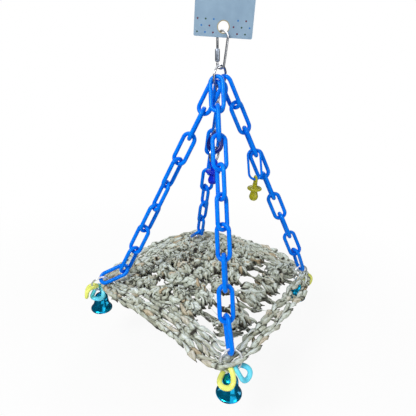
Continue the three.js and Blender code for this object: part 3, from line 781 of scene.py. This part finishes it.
def bell(side):
    """Pressed bell with a rounded lip, a hanging eye, and a stem and clapper inside."""
    node = f"{side}_bell"
    axis, peak = hung(node)
    hook = peak - BELL_EYE_WIRE / 2
    crown = hook - 2 * BELL_EYE_RADIUS + BELL_EYE_WIRE / 2 + BELL_EYE_SINK
    lip = crown - BELL_HEIGHT
    outer = [(0.0004, crown), (BELL_CROWN * 0.75, crown - 0.0002)]
    outer += [(BELL_RADIUS * wide, crown - BELL_HEIGHT * drop) for wide, drop in BELL_PROFILE]
    outer += [(BELL_RADIUS, lip + 0.0012), (BELL_RADIUS, lip + 0.0003), (BELL_RADIUS - BELL_WALL * 0.5, lip)]
    inner = [(BELL_RADIUS - BELL_WALL, lip + 0.0002)]
    inner += [(BELL_RADIUS * wide - BELL_WALL, crown - BELL_HEIGHT * drop) for wide, drop in BELL_HOLLOW]
    inner += [(BELL_CROWN * 0.8, crown - BELL_HEIGHT * 0.14), (0.0004, crown - BELL_HEIGHT * 0.12)]
    shape = Shape()
    shape.turned(np.concatenate([smooth_line(outer, 5), smooth_line(inner, 4)])[::-1], axis, ROUND_STEPS)
    way = upper_way(node, 2 * BELL_EYE_RADIUS - BELL_EYE_WIRE)
    eye = axis + (hook - BELL_EYE_RADIUS) * UP
    eye_loop(shape, eye, way, BELL_EYE_RADIUS, BELL_EYE_WIRE, THIN_SIDES)
    shape.piece(f"{side}_bell_shell", BELL, node)
    ball = crown - CLAPPER_DROP
    clapper = Shape()
    stem = np.array([(0, 0, crown - BELL_WALL), (0, 0, crown - 0.006), (0, 0, ball)]) + axis
    clapper.tube(stem, CLAPPER_STEM, FINE_SIDES)
    turn = np.linspace(-0.5 * np.pi, 0.5 * np.pi, CLAPPER_POINTS)
    wide = np.maximum(CLAPPER_RADIUS * np.cos(turn), 0.0001)
    clapper.turned(np.stack([wide, ball + CLAPPER_RADIUS * np.sin(turn)], 1), axis, SMALL_STEPS)
    clapper.piece(f"{side}_bell_clapper", NICKEL, node, False)


def dummy(node, material):
    """Toy dummy: teat, rounded shield with a raised rim, neck and handle ring."""
    axis, peak = hung(node)
    hook = peak - DUMMY_HANDLE_WIRE / 2
    top = hook - 2 * DUMMY_HANDLE_RADIUS + DUMMY_HANDLE_WIRE / 4
    shield = top - DUMMY_NECK
    under = shield - DUMMY_SHIELD
    foot = under - DUMMY_TEAT
    teat, wide, neck = DUMMY_TEAT_RADIUS, DUMMY_SHIELD_RADIUS, DUMMY_NECK_RADIUS
    bulb = foot + teat
    outline = smooth_line([
        (0.0002, foot), (teat * 0.72, foot + teat * 0.3), (teat, bulb), (teat * 0.86, bulb + teat * 0.62),
        (DUMMY_TEAT_NECK, under - 0.0012), (DUMMY_TEAT_NECK + 0.0004, under - 0.0001),
        (wide * 0.8, under + 0.0001), (wide * 0.97, under + DUMMY_SHIELD * 0.25),
        (wide, under + DUMMY_SHIELD * 0.5), (wide * 0.97, shield - DUMMY_SHIELD * 0.2),
        (wide * 0.85, shield), (wide * 0.7, shield - 0.0004), (neck + 0.0004, shield - 0.0003),
        (neck, shield + 0.0008), (neck * 0.95, top), (0.0002, top + 0.0002),
    ], 4)
    shape = Shape()
    shape.turned(outline, axis, DUMMY_STEPS)
    way = upper_way(node, 2 * DUMMY_HANDLE_RADIUS - DUMMY_HANDLE_WIRE)
    handle = axis + (hook - DUMMY_HANDLE_RADIUS) * UP
    eye_loop(shape, handle, way, DUMMY_HANDLE_RADIUS, DUMMY_HANDLE_WIRE, HANDLE_SIDES)
    shape.piece(f"{node}_moulding", material, node)


def header_card():
    """Card cut with rounded corners and two round holes."""
    curve = bpy.data.curves.new("card_cut", "CURVE")
    curve.dimensions = "2D"
    curve.fill_mode = "BOTH"
    curve.extrude = CARD_THICKNESS / 2 - CARD_BEVEL
    curve.bevel_depth = CARD_BEVEL
    half = CARD_WIDTH / 2 - CARD_CORNER
    low = CARD_TOP - CARD_HEIGHT + CARD_CORNER
    high = CARD_TOP - CARD_CORNER
    corners = ((half, low, -90), (half, high, 0), (-half, high, 90), (-half, low, 180))
    bends = [arc(x, z, CARD_CORNER, turn, turn + 90, CORNER_STEPS) for x, z, turn in corners]
    lines = [np.concatenate(bends)]
    lines += [arc(0, z, radius, 0, 360, ROUND_STEPS)[:-1] for radius, z in CARD_HOLES]
    for line in lines:
        spline = curve.splines.new("POLY")
        spline.points.add(len(line) - 1)
        for point, (x, z) in zip(spline.points, line):
            point.co = (x, z, 0, 1)
        spline.use_cyclic_u = True
    cut = bpy.data.objects.new("card_cut", curve)
    scene.collection.objects.link(cut)
    bpy.context.view_layer.update()
    mesh = bpy.data.meshes.new_from_object(cut.evaluated_get(bpy.context.evaluated_depsgraph_get()))
    bpy.data.objects.remove(cut)
    mesh.transform(Matrix.Rotation(math.pi / 2, 4, "X"))
    mesh.materials.clear()
    mesh.materials.append(CARD)
    made = bpy.data.objects.new("printed_card", mesh)
    scene.collection.objects.link(made)
    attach(made, "header_card")
    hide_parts("header_card")


def quick_link():
    """Pear of wire with open lips, and the sleeve nut over them."""
    top = (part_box("quick_link")[1].z - CLIP_WIRE / 2) * UP
    way = np.array((math.cos(CLIP_TURN), -math.sin(CLIP_TURN), 0.0))
    draw = CLIP_SPAN - CLIP_TOP_RADIUS - CLIP_FOOT_RADIUS
    taper = math.degrees(math.asin((CLIP_TOP_RADIUS - CLIP_FOOT_RADIUS) / draw))
    foot = CLIP_FOOT_RADIUS - CLIP_SPAN
    foot_bend = arc(0, foot, CLIP_FOOT_RADIUS, 180 + taper, 360 - taper, SMALL_STEPS)
    top_bend = arc(0, -CLIP_TOP_RADIUS, CLIP_TOP_RADIUS, -taper, 180 + taper, SMALL_STEPS)
    leg = unit(top_bend[-1] - foot_bend[0])
    nut = foot_bend[0] + leg * NUT_ABOVE_FOOT
    low_lip, high_lip = nut - leg * CLIP_MOUTH / 2, nut + leg * CLIP_MOUTH / 2
    path = np.concatenate([[low_lip], foot_bend, top_bend, [high_lip]])
    shape = Shape()
    shape.tube(placed(path, top, way, UP), CLIP_WIRE / 2, THICK_SIDES, False, np.cross(way, UP))
    shape.piece("quick_link_wire", NICKEL, "quick_link")
    marks = np.linspace(-0.5, 0.5, NUT_POINTS)
    out = np.abs(marks)
    radius = np.where(out > NUT_CHAMFER_FROM, NUT_RADIUS * NUT_CHAMFER, NUT_RADIUS)
    grooved = (out > NUT_GROOVE_FROM) & (out < NUT_GROOVE_TO)
    radius = np.where(grooved, NUT_RADIUS * NUT_GROOVE, radius)
    line = placed(nut + marks[:, None] * leg * NUT_LENGTH, top, way, UP)

    def hexed(angle):
        return 1 - NUT_FLATS * (1 - np.abs(np.cos(3 * angle)))

    sleeve = Shape()
    sleeve.tube(line, radius, SMALL_STEPS, False, np.cross(way, UP), hexed)
    sleeve.piece("quick_link_sleeve", NUT_STEEL, "quick_link_nut")


def fine_chain():
    """Small links between two jump rings, in place of the plain loop."""
    middle, long, wide, thin = axes_of("fine_chain")
    if long[2] < 0:
        long = -long
    low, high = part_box("fine_chain")
    shape = Shape()
    top, foot = high.z - FINE_WIRE / 2, low.z + FINE_WIRE / 2
    angle = full_turn(JUMP_POINTS)
    centre = middle.copy()
    for height in (top - FINE_BEND, foot + FINE_BEND):
        centre[2] = height
        ring = centre + FINE_BEND * (np.cos(angle)[:, None] * wide + np.sin(angle)[:, None] * long)
        shape.tube(ring, FINE_WIRE / 2, FINE_SIDES, True)
    start, finish = top - 2 * FINE_BEND + FINE_WIRE, foot + 2 * FINE_BEND - FINE_WIRE
    pitch = FINE_LINK_LENGTH - FINE_LINK_HOOK * FINE_LINK_WIRE
    count = max(1, round((start - finish - 2 * FINE_LINK_WIRE) / pitch))
    step = (start - finish) / count
    for i in range(count):
        centre[2] = start - (i + 0.5) * step
        path = loop_path(step + FINE_LINK_LAP * FINE_LINK_WIRE, FINE_LINK_WIDTH, FINE_LINK_WIRE, (0.5,))
        path = placed(path, centre, thin if i % 2 == 0 else wide, long)
        shape.tube(path, FINE_LINK_WIRE / 2, FINE_LINK_SIDES, True)
    shape.piece("fine_chain_links", NICKEL, "fine_chain")


# Mat


ring_middle = {side: axes_of(f"{side}_ring")[0] for side in SIDES}
mat_middle = sum(ring_middle.values()) / len(SIDES) - MAT_DROP * UP
mat_reach = sum(np.linalg.norm(m[:2]) for m in ring_middle.values()) / len(SIDES)
mat_corner = {}
for side, spot in ring_middle.items():
    out = np.linalg.norm(spot[:2])
    mat_corner[side] = spot[:2] * (out + MAT_OVERHANG[side]) / out
along_p = unit(mat_corner["right"] - mat_corner["back"] + mat_corner["front"] - mat_corner["left"])
along_q = unit(mat_corner["right"] - mat_corner["front"] + mat_corner["back"] - mat_corner["left"])


def mat_spots(p, q, lift):
    """Points of the mat at p, q from -1 to 1 along its sides, lifted off its middle layer."""
    p, q, lift = (np.asarray(v, float) for v in (p, q, lift))
    pull = 1 - MAT_ROUNDING * np.minimum(np.abs(p * q), MAT_ROUND_LIMIT) ** MAT_ROUND_POWER
    u, v = p * pull, q * pull
    shares = {
        "left": (1 - u) * (1 - v) / 4, "front": (1 + u) * (1 - v) / 4,
        "right": (1 + u) * (1 + v) / 4, "back": (1 - u) * (1 + v) / 4,
    }
    plan = sum(share[:, None] * mat_corner[side] for side, share in shares.items())
    bow_p = np.where(p > 0, MAT_FRONT_RIGHT_BOW, MAT_BACK_BOW) * u ** 3 * (1 - v * v)
    bow_q = np.where(q > 0, MAT_BACK_BOW, MAT_FRONT_LEFT_BOW) * v ** 3 * (1 - u * u)
    right_lap = MAT_RIGHT_LAP * np.maximum(0, u) ** 3 * np.maximum(0, 0.5 + 0.5 * v)
    near_front = np.clip((u - MAT_LAP_START) / MAT_LAP_RUN, 0, 1) ** 2
    near_front = near_front * (1 - np.clip(u, 0, 1) ** MAT_LAP_END)
    left_lap = MAT_LEFT_LAP * np.maximum(0, -v) ** 3 * near_front
    plan = plan + (bow_p + right_lap)[:, None] * along_p + (bow_q - left_lap)[:, None] * along_q
    x, y = plan[:, 0], plan[:, 1]
    out = np.hypot(x - mat_middle[0], y - mat_middle[1]) / mat_reach
    height = mat_middle[2] + MAT_DOME * np.maximum(0, 1 - out ** 2) ** 2
    for spot in ring_middle.values():
        arm = spot[:2] - mat_middle[:2]
        rise = spot[2] - MAT_DROP - mat_middle[2]
        height = height + rise * np.maximum(0, ((plan - mat_middle[:2]) @ arm) / (arm @ arm))
    height = height - MAT_BACK_LEFT_DROOP * np.maximum(0, -u) ** 2 * (1 - v * v)
    height = height + MAT_BACK_RIGHT_CURL * np.maximum(0, v) ** 2 * (1 - u * u)
    return np.stack([x, y, height + lift - MAT_LAP_SAG * (right_lap + left_lap)], 1)


def blade(angle):
    """Rim of a flat strand with folds along it."""
    rim = 1 / np.sqrt(np.cos(angle) ** 2 + (np.sin(angle) / STRAND_FLAT) ** 2)
    return rim * (1 + FOLD_DEPTH * np.cos(STRAND_FOLDS * angle))


def swing(most):
    """A random number to either side of nought."""
    return rng.uniform(-most, most)


def draws(low, high, count):
    """Random numbers, one for each point of a strand."""
    return np.array([rng.uniform(low, high) for _ in range(count)])


def strand(shape, p, q, lift, width, tone, shade_lifts, twist, broken=1.0):
    """One flat twisted strand on the mat, with painted shade. The lift pair gives the lift at which its
    painted shade is darkest and the lift at which it has none.
    """
    path = mat_spots(p, q, lift)
    length = lengths(path)
    face_up = np.pi / 2 + swing(FACE_TILT)
    turn = face_up + rng.choice((-1, 1)) * 2 * np.pi * (length - length[-1] / 2) / twist
    ends = np.clip(np.minimum(length, length[-1] - length) / np.max(width), END_WIDTH, 1) ** END_TAPER
    dark, unshaded = shade_lifts
    # Painted shade: random dark notches along the strand, added to the shade by lift
    notches = NOTCH_SHADE * (draws(0, 1, len(path)) < NOTCH_SHARE * broken)
    painted_shade = np.clip((unshaded - np.asarray(lift)) / (unshaded - dark), 0, 1) + notches
    lumps = 1 + broken * draws(*LUMPS, len(path))
    tones = tone
    if tone < PALE_TONE:
        tones = np.clip(tone + draws(-TONE_STEP, TONE_STEP, len(path)), 0, PALE_TONE)
    sides = WIDE_SIDES if np.max(width) > WIDE_STRAND else SLIM_SIDES
    shape.tube(path, width / 2 * ends * lumps, sides, False, None, blade, tones, painted_shade, turn)


def strand_tone():
    return rng.uniform(*BROWN_TONES) if rng.random() < BROWN_SHARE else rng.uniform(0.0, PALE_TONE)


def wander(count, size, waves):
    """A slow random sway along a strand."""
    place = np.linspace(0, 2 * np.pi, count)
    total = np.zeros(count)
    for wave in waves:
        total = total + np.sin(wave * place + rng.uniform(0, 2 * np.pi))
    return total * size / len(waves)


def cluster(shape, p, q, loose):
    """One crochet cluster: a core strand painted dark as shade, fat strands side by side, wraps and slivers
    across, strands below.
    """
    steps = np.linspace(0, 1, CLUSTER_POINTS)
    arch = np.sin(np.pi * steps)
    size = DENSE_SIZE + (LOOSE_SIZE - DENSE_SIZE) * loose
    slim = 1 - LOOSE_SLIM * loose
    turn = swing(CLUSTER_TURN) * (1 - 0.3 * loose)
    height = rng.uniform(*CLUSTER_HEIGHT)

    def sway(share):
        return wander(CLUSTER_POINTS, share * size, SLOW_WAVES)

    def lay(across, along, lift, width, shade_lifts):
        x = (along * math.cos(turn) - slim * across * math.sin(turn)) / HALF_SIDE
        y = (along * math.sin(turn) + slim * across * math.cos(turn)) / HALF_SIDE
        strand(shape, p + x, q + y, lift, width, strand_tone(), shade_lifts, SHORT_TWIST)

    # Core strand, painted wholly dark as shade between the strands
    lay(0 * steps, (1.4 * steps - 0.7) * size, 0 * steps, 0.85 * size * slim, CLUSTER_CORE_SHADE)
    for k in range(CLUSTER_POSTS):
        share = 2 * k / (CLUSTER_POSTS - 1) - 1
        offset = (0.66 * share + swing(0.12)) * size
        lean = swing(0.4) * size
        across = offset * (0.55 + 0.5 * arch) + lean * (steps - 0.5) + sway(0.14)
        along = (2 * steps - 1) * size * rng.uniform(0.75, 1.05) + swing(0.2) * size
        rise = arch ** 0.65 * (POST_RISE - POST_SLOPE * abs(share)) * height * rng.uniform(0.75, 1.2)
        lay(across, along, POST_BASE + rise, rng.uniform(*POST_WIDTH) * (1 - LOOSE_THIN * loose), TOP_SHADE)
    for count, half, shift, slant, place, power, rise, width, thin in CROSSINGS:
        for _ in range(count):
            across = (2 * steps - 1) * size * rng.uniform(*half) + swing(shift) * size
            lean = swing(slant) * size
            along = swing(place) * size + lean * (steps - 0.5) + sway(0.2)
            lift = CROSSING_BASE + arch ** power * rng.uniform(*rise) * height
            lay(across, along, lift, rng.uniform(*width) * (1 - thin * loose), TOP_SHADE)
    for k in range(CLUSTER_UNDER):
        share = 2 * k / (CLUSTER_UNDER - 1) - 1
        across = (0.6 * share + swing(0.1)) * size + sway(0.2)
        along = (2 * steps - 1) * size
        lift = UNDER_BASE - arch ** 0.7 * UNDER_SAG * rng.uniform(0.8, 1.2)
        lay(across, along, lift, rng.uniform(*UNDER_WIDTH), UNDER_SHADE)


def bridge(shape, start, finish):
    """Two strands that run from one cluster to the next."""
    steps = np.linspace(0, 1, BRIDGE_POINTS)
    arch = np.sin(np.pi * steps)
    for _ in range(2):
        sway = swing(BRIDGE_SWAY) / HALF_SIDE
        p = start[0] + (finish[0] - start[0]) * steps + sway * arch + sway / 2
        q = start[1] + (finish[1] - start[1]) * steps - sway * arch + sway / 2
        lift = rng.uniform(*BRIDGE_LIFT) + wander(BRIDGE_POINTS, BRIDGE_WANDER, SLOW_WAVES)
        strand(shape, p, q, lift, rng.uniform(*BRIDGE_WIDTH), strand_tone(), BRIDGE_SHADE, SHORT_TWIST)


def mat_field():
    """Clusters in rows, packed on the left and opening into gaps towards the right front edge."""
    shape = Shape()
    spots = {}
    for i, row in enumerate(ROWS):
        for j in range(COLUMNS):
            p = row + swing(CLUSTER_SLIP)
            loose = np.clip((p - LOOSE_START) / LOOSE_RUN, 0, 1)
            slip = CLUSTER_SLIP * (1 + loose)
            q = COLUMN_FIRST + (j + ROW_STAGGER * (i % 2)) * COLUMN_STEP + swing(slip)
            cluster(shape, p, q, loose)
            spots[i, j] = (p, q, loose)
    for (i, j), (p, q, loose) in spots.items():
        if (i + 1, j) in spots:
            bridge(shape, (p, q), spots[i + 1, j])
        else:
            bridge(shape, (p, q), (EDGE_REACH[j % 2], q + swing(EDGE_SLIP)))
        if (i, j + 1) in spots and rng.random() > GAP_SHARE * loose:
            bridge(shape, (p, q), spots[i, j + 1])
    shape.piece("mat_clusters", SEAGRASS, "mat")


def around_mat(share, count):
    """p, q round a square at a share of the mat's half size, with eased corners."""
    turn = np.linspace(0, 4, count, endpoint=False)
    edge = turn.astype(int)
    place = (2 * (turn - edge) - 1) * share
    p = np.choose(edge, [share + 0 * place, -place, -share + 0 * place, place])
    q = np.choose(edge, [place, share + 0 * place, -place, -share + 0 * place])
    for _ in range(count // 90):
        p = (np.roll(p, 1) + 2 * p + np.roll(p, -1)) / 4
        q = (np.roll(q, 1) + 2 * q + np.roll(q, -1)) / 4
    return p, q


def rope(shape, share, base, furthest):
    """A chain stitch round the mat: pairs of long spindles that spread from the loop before."""
    line_p, line_q = around_mat(share, STITCHES * STITCH_FINE)
    out = unit(np.stack([np.gradient(line_q), -np.gradient(line_p)], 1))
    sway = wander(len(line_p), ROPE_SWAY / HALF_SIDE, ROPE_WAVES)
    line_p, line_q = line_p + sway * out[:, 0], line_q + sway * out[:, 1]
    opened = np.clip((line_p - OPEN_START) / OPEN_RUN, 0, 1)
    laid = np.arange(0, len(line_p) + 1, CORE_STEP) % len(line_p)
    laid = laid[line_p[laid] <= furthest]
    core = ROPE_CORE * (1 - 0.55 * opened[laid])
    # Core strand under the stitches, painted partly dark as shade
    strand(
        shape, line_p[laid], line_q[laid], base - CORE_DROP + 0 * core, core, CORE_TONE,
        base + ROPE_CORE_SHADE, CORE_TWIST, ROPE_BROKEN,
    )
    steps = np.linspace(0, 1, STITCH_POINTS)
    lens = np.sin(np.pi * (0.1 + 0.8 * steps)) ** 0.6
    for i in range(STITCHES):
        start = i * STITCH_FINE
        if line_p[start] > furthest:
            continue
        slim = 1 - 0.3 * opened[start]
        for way in (-1, 1):
            span = STITCH_SPAN * rng.uniform(*STITCH_SPANS)
            spots = (i + swing(STITCH_SHIFT) + steps * span) * STITCH_FINE
            spots = np.round(spots).astype(int) % len(line_p)
            side = way * (STITCH_START + STITCH_WIDTH * slim * steps ** 0.7)
            side = (side + swing(STITCH_SLIP)) / HALF_SIDE
            lift = base + STITCH_RISE * (np.sin(np.pi * (0.15 + 0.85 * steps)) - 0.5)
            lift = lift + swing(STITCH_JITTER)
            width = rng.uniform(*STITCH_THICK) * (1 - 0.1 * opened[start]) * lens
            strand(
                shape, line_p[spots] + side * out[spots, 0], line_q[spots] + side * out[spots, 1],
                lift, width, strand_tone(), base + STITCH_SHADE, LONG_TWIST, ROPE_BROKEN,
            )


def mat_border():
    """Ropes of chain stitch round the edge, on a core strand painted in shade, with short strands across the
    slits.
    """
    shape = Shape()
    for share, base, furthest in ROPES:
        rope(shape, share, base, furthest)
    steps = np.linspace(0, 1, SLIT_POINTS)
    inner_p, inner_q = around_mat(SLIT_INNER, SLITS)
    outer_p, outer_q = around_mat(SLIT_OUTER, SLITS)
    for i in range(SLITS):
        n = (i + (1 if i % 2 else -1)) % SLITS
        share = rng.uniform(*SLIT_SHARES)
        p = inner_p[i] + (share * outer_p[i] + (1 - share) * outer_p[n] - inner_p[i]) * steps
        q = inner_q[i] + (share * outer_q[i] + (1 - share) * outer_q[n] - inner_q[i]) * steps
        lift = rng.uniform(*SLIT_RISE) * np.sin(np.pi * steps) + SLIT_LIFT
        strand(shape, p, q, lift, rng.uniform(*SLIT_WIDTH), strand_tone(), SLIT_SHADE, SHORT_TWIST)
    shape.piece("mat_border", SEAGRASS, "mat", False)


def mat_whiskers():
    """Loose fibres that stand off the mat."""
    shape = Shape()
    steps = np.linspace(0, 1, WHISKER_POINTS)
    for _ in range(WHISKERS):
        p, q = swing(WHISKER_PLACE), swing(WHISKER_PLACE)
        way = rng.uniform(0, 2 * np.pi)
        reach = rng.uniform(*WHISKER_REACH)
        curl = swing(WHISKER_CURL)
        x = reach * steps * np.cos(way + curl * steps) / HALF_SIDE
        y = reach * steps * np.sin(way + curl * steps) / HALF_SIDE
        lift = WHISKER_LIFT + rng.uniform(*WHISKER_RISE) * np.sin(np.pi * 0.7 * steps)
        path = mat_spots(p + x, q + y, lift)
        radius = WHISKER_RADIUS * (1 - WHISKER_TAPER * steps)
        shape.tube(path, radius, WHISKER_SIDES, tone=strand_tone(), painted_shade=0 * steps)
    shape.piece("mat_whiskers", SEAGRASS, "mat", False)


# Stage


def camera():
    data = bpy.data.cameras.new("camera")
    data.lens = CAMERA_LENS
    data.sensor_width = CAMERA_SENSOR
    data.clip_start = CAMERA_NEAR
    made = bpy.data.objects.new("camera", data)
    scene.collection.objects.link(made)
    ahead = np.array((0, math.cos(CAMERA_DOWN), -math.sin(CAMERA_DOWN)))
    level = np.array((1.0, 0, 0))
    raised = np.cross(level, ahead)
    right = math.cos(CAMERA_ROLL) * level + math.sin(CAMERA_ROLL) * raised
    up = -math.sin(CAMERA_ROLL) * level + math.cos(CAMERA_ROLL) * raised
    turn = Matrix(np.stack([right, up, -ahead], 1).tolist())
    made.matrix_world = Matrix.Translation(CAMERA_PLACE) @ turn.to_4x4()
    scene.camera = made


def seen_ray(tree):
    """One where a ray from the camera, a reflection or a clear body sees the surface."""
    path = tree.nodes.new("ShaderNodeLightPath")
    total = path.outputs["Is Camera Ray"]
    for key in ("Is Glossy Ray", "Is Transmission Ray"):
        most = tree.nodes.new("ShaderNodeMath")
        most.operation = "MAXIMUM"
        tree.links.new(total, most.inputs[0])
        tree.links.new(path.outputs[key], most.inputs[1])
        total = most.outputs["Value"]
    return total


def staged(name, spots, faces, material, height):
    """A thing of the stage, which is no part of the toy."""
    mesh = bpy.data.meshes.new(name)
    mesh.from_pydata(spots, [], faces)
    mesh.materials.append(material)
    made = bpy.data.objects.new(name, mesh)
    made.location.z = height
    scene.collection.objects.link(made)
    return made


def flag(name, spots, faces, material, height=0.0):
    """A panel that only reflections see, for a painted reflection or highlight."""
    made = staged(name, spots, faces, material, height)
    for key in ("camera", "diffuse", "transmission", "shadow"):
        setattr(made, f"visible_{key}", False)


def square(half):
    return [(-half, -half, 0), (half, -half, 0), (half, half, 0), (-half, half, 0)]


def floor_material():
    """Pale floor that keeps the toy's shadow and fades to plain white away from it."""
    paint = Paint("pale_floor")
    paint.set(Base_Color=(0.9, 0.9, 0.9, 1), Roughness=0.9)
    place = paint.node("ShaderNodeTexCoord", {}, "Object")
    reach = paint.node("ShaderNodeVectorMath", {0: place}, "Value", operation="LENGTH")
    inputs = {"Value": reach, "From Min": FLOOR_NEAR, "From Max": FLOOR_FAR, "To Min": BACKDROP_SHARE}
    fade = paint.node("ShaderNodeMapRange", inputs, "Result", interpolation_type="SMOOTHSTEP")
    share = paint.node("ShaderNodeMath", {0: seen_ray(paint.tree), 1: fade}, "Value", operation="MULTIPLY")
    glow = paint.node("ShaderNodeEmission", {}, "Emission")
    inputs = {"Fac": share, 1: paint.shader.outputs["BSDF"], 2: glow}
    paint.surface(paint.node("ShaderNodeMixShader", inputs, "Shader"))
    return paint.material


def stage():
    """Floor, dark panels and glowing strips that only reflections see, painting dark bands and bright strips
    on the metal, and an even pale world.
    """
    level = cad_box[0][2] - FLOOR_BELOW
    staged("floor", square(FLOOR_HALF), [(0, 1, 2, 3)], floor_material(), level)
    dark = Paint("dark_reflection_panel")
    dark.set(Base_Color=DARK_REFLECTION_COLOUR)
    bright = Paint("glow_strip_panel")
    bright.surface(bright.node("ShaderNodeEmission", {}, "Emission"))
    # Painted reflection: a dark sheet under the toy
    flag("dark_reflection_floor", square(DARK_REFLECTION_REACH), [(0, 1, 2, 3)], dark.material, level + DARK_ABOVE)
    # Painted highlights: glowing strips under each corner, which are no lamps
    first, last = GLOW_STRIP_BEARING - GLOW_STRIP_HALF, GLOW_STRIP_BEARING + GLOW_STRIP_HALF
    for side, (x, y, _) in ring_middle.items():
        fan = [(x, y, 0)]
        for bearing in (first, last):
            fan.append((x + GLOW_STRIP_RUN * math.cos(bearing), y + GLOW_STRIP_RUN * math.sin(bearing), 0))
        flag(f"{side}_glow_strip", fan, [(0, 1, 2)], bright.material, level + GLOW_STRIP_ABOVE)
    # Painted reflection: a dark wall round the toy
    far = DARK_REFLECTION_REACH
    around = np.linspace(last, first + 2 * np.pi, DARK_REFLECTION_STEPS)
    spots = [(far * math.cos(a), far * math.sin(a), z) for z in (level, DARK_REFLECTION_TOP) for a in around]
    faces = [(i, i + 1, DARK_REFLECTION_STEPS + i + 1, DARK_REFLECTION_STEPS + i) for i in range(DARK_REFLECTION_STEPS - 1)]
    flag("dark_reflection_wall", spots, faces, dark.material)
    scene.world = bpy.data.worlds.new("studio")
    scene.world.use_nodes = True
    tree = scene.world.node_tree
    back = tree.nodes["Background"]
    back.inputs["Color"].default_value = (1, 1, 1, 1)
    strength = tree.nodes.new("ShaderNodeMapRange")
    strength.inputs["To Min"].default_value = WORLD_STRENGTH
    tree.links.new(seen_ray(tree), strength.inputs["Value"])
    tree.links.new(strength.outputs["Result"], back.inputs["Strength"])


def lamp(name, place, size, power):
    data = bpy.data.lights.new(name, "AREA")
    data.size = size
    data.energy = power
    made = bpy.data.objects.new(name, data)
    scene.collection.objects.link(made)
    made.location = place
    made.rotation_euler = (Vector(LAMP_TARGET) - Vector(place)).to_track_quat("-Z", "Y").to_euler()


scene.view_settings.view_transform = "Standard"
camera()
stage()
for values in LAMPS:
    lamp(*values)

header_card()
quick_link()
split_ring("apex", CORNER_RING_RADIUS, NICKEL)
split_ring("dangle", DANGLE_RING_RADIUS, NICKEL)
for side in SIDES:
    for number in range(1, LINKS + 1):
        moulded_link(f"{side}_link_{number}", LINK_LENGTH, LINK_WIDTH, LINK_WIRE)
    split_ring(side, CORNER_RING_RADIUS, BRIGHT_WIRE)
    bell(side)
moulded_link("charm_link", CHARM_LENGTH, CHARM_WIDTH, CHARM_WIRE)
for node, material in (
    ("front_yellow_link", LEMON), ("front_blue_link", SKY), ("left_blue_link", SKY),
    ("left_yellow_link", LEMON), ("right_yellow_link", LEMON), ("navy_link", NAVY),
):
    curb_link(node, material)
dummy("yellow_dummy", OLIVE)
dummy("royal_dummy", ROYAL)
fine_chain()
mat_field()
mat_border()
mat_whiskers()
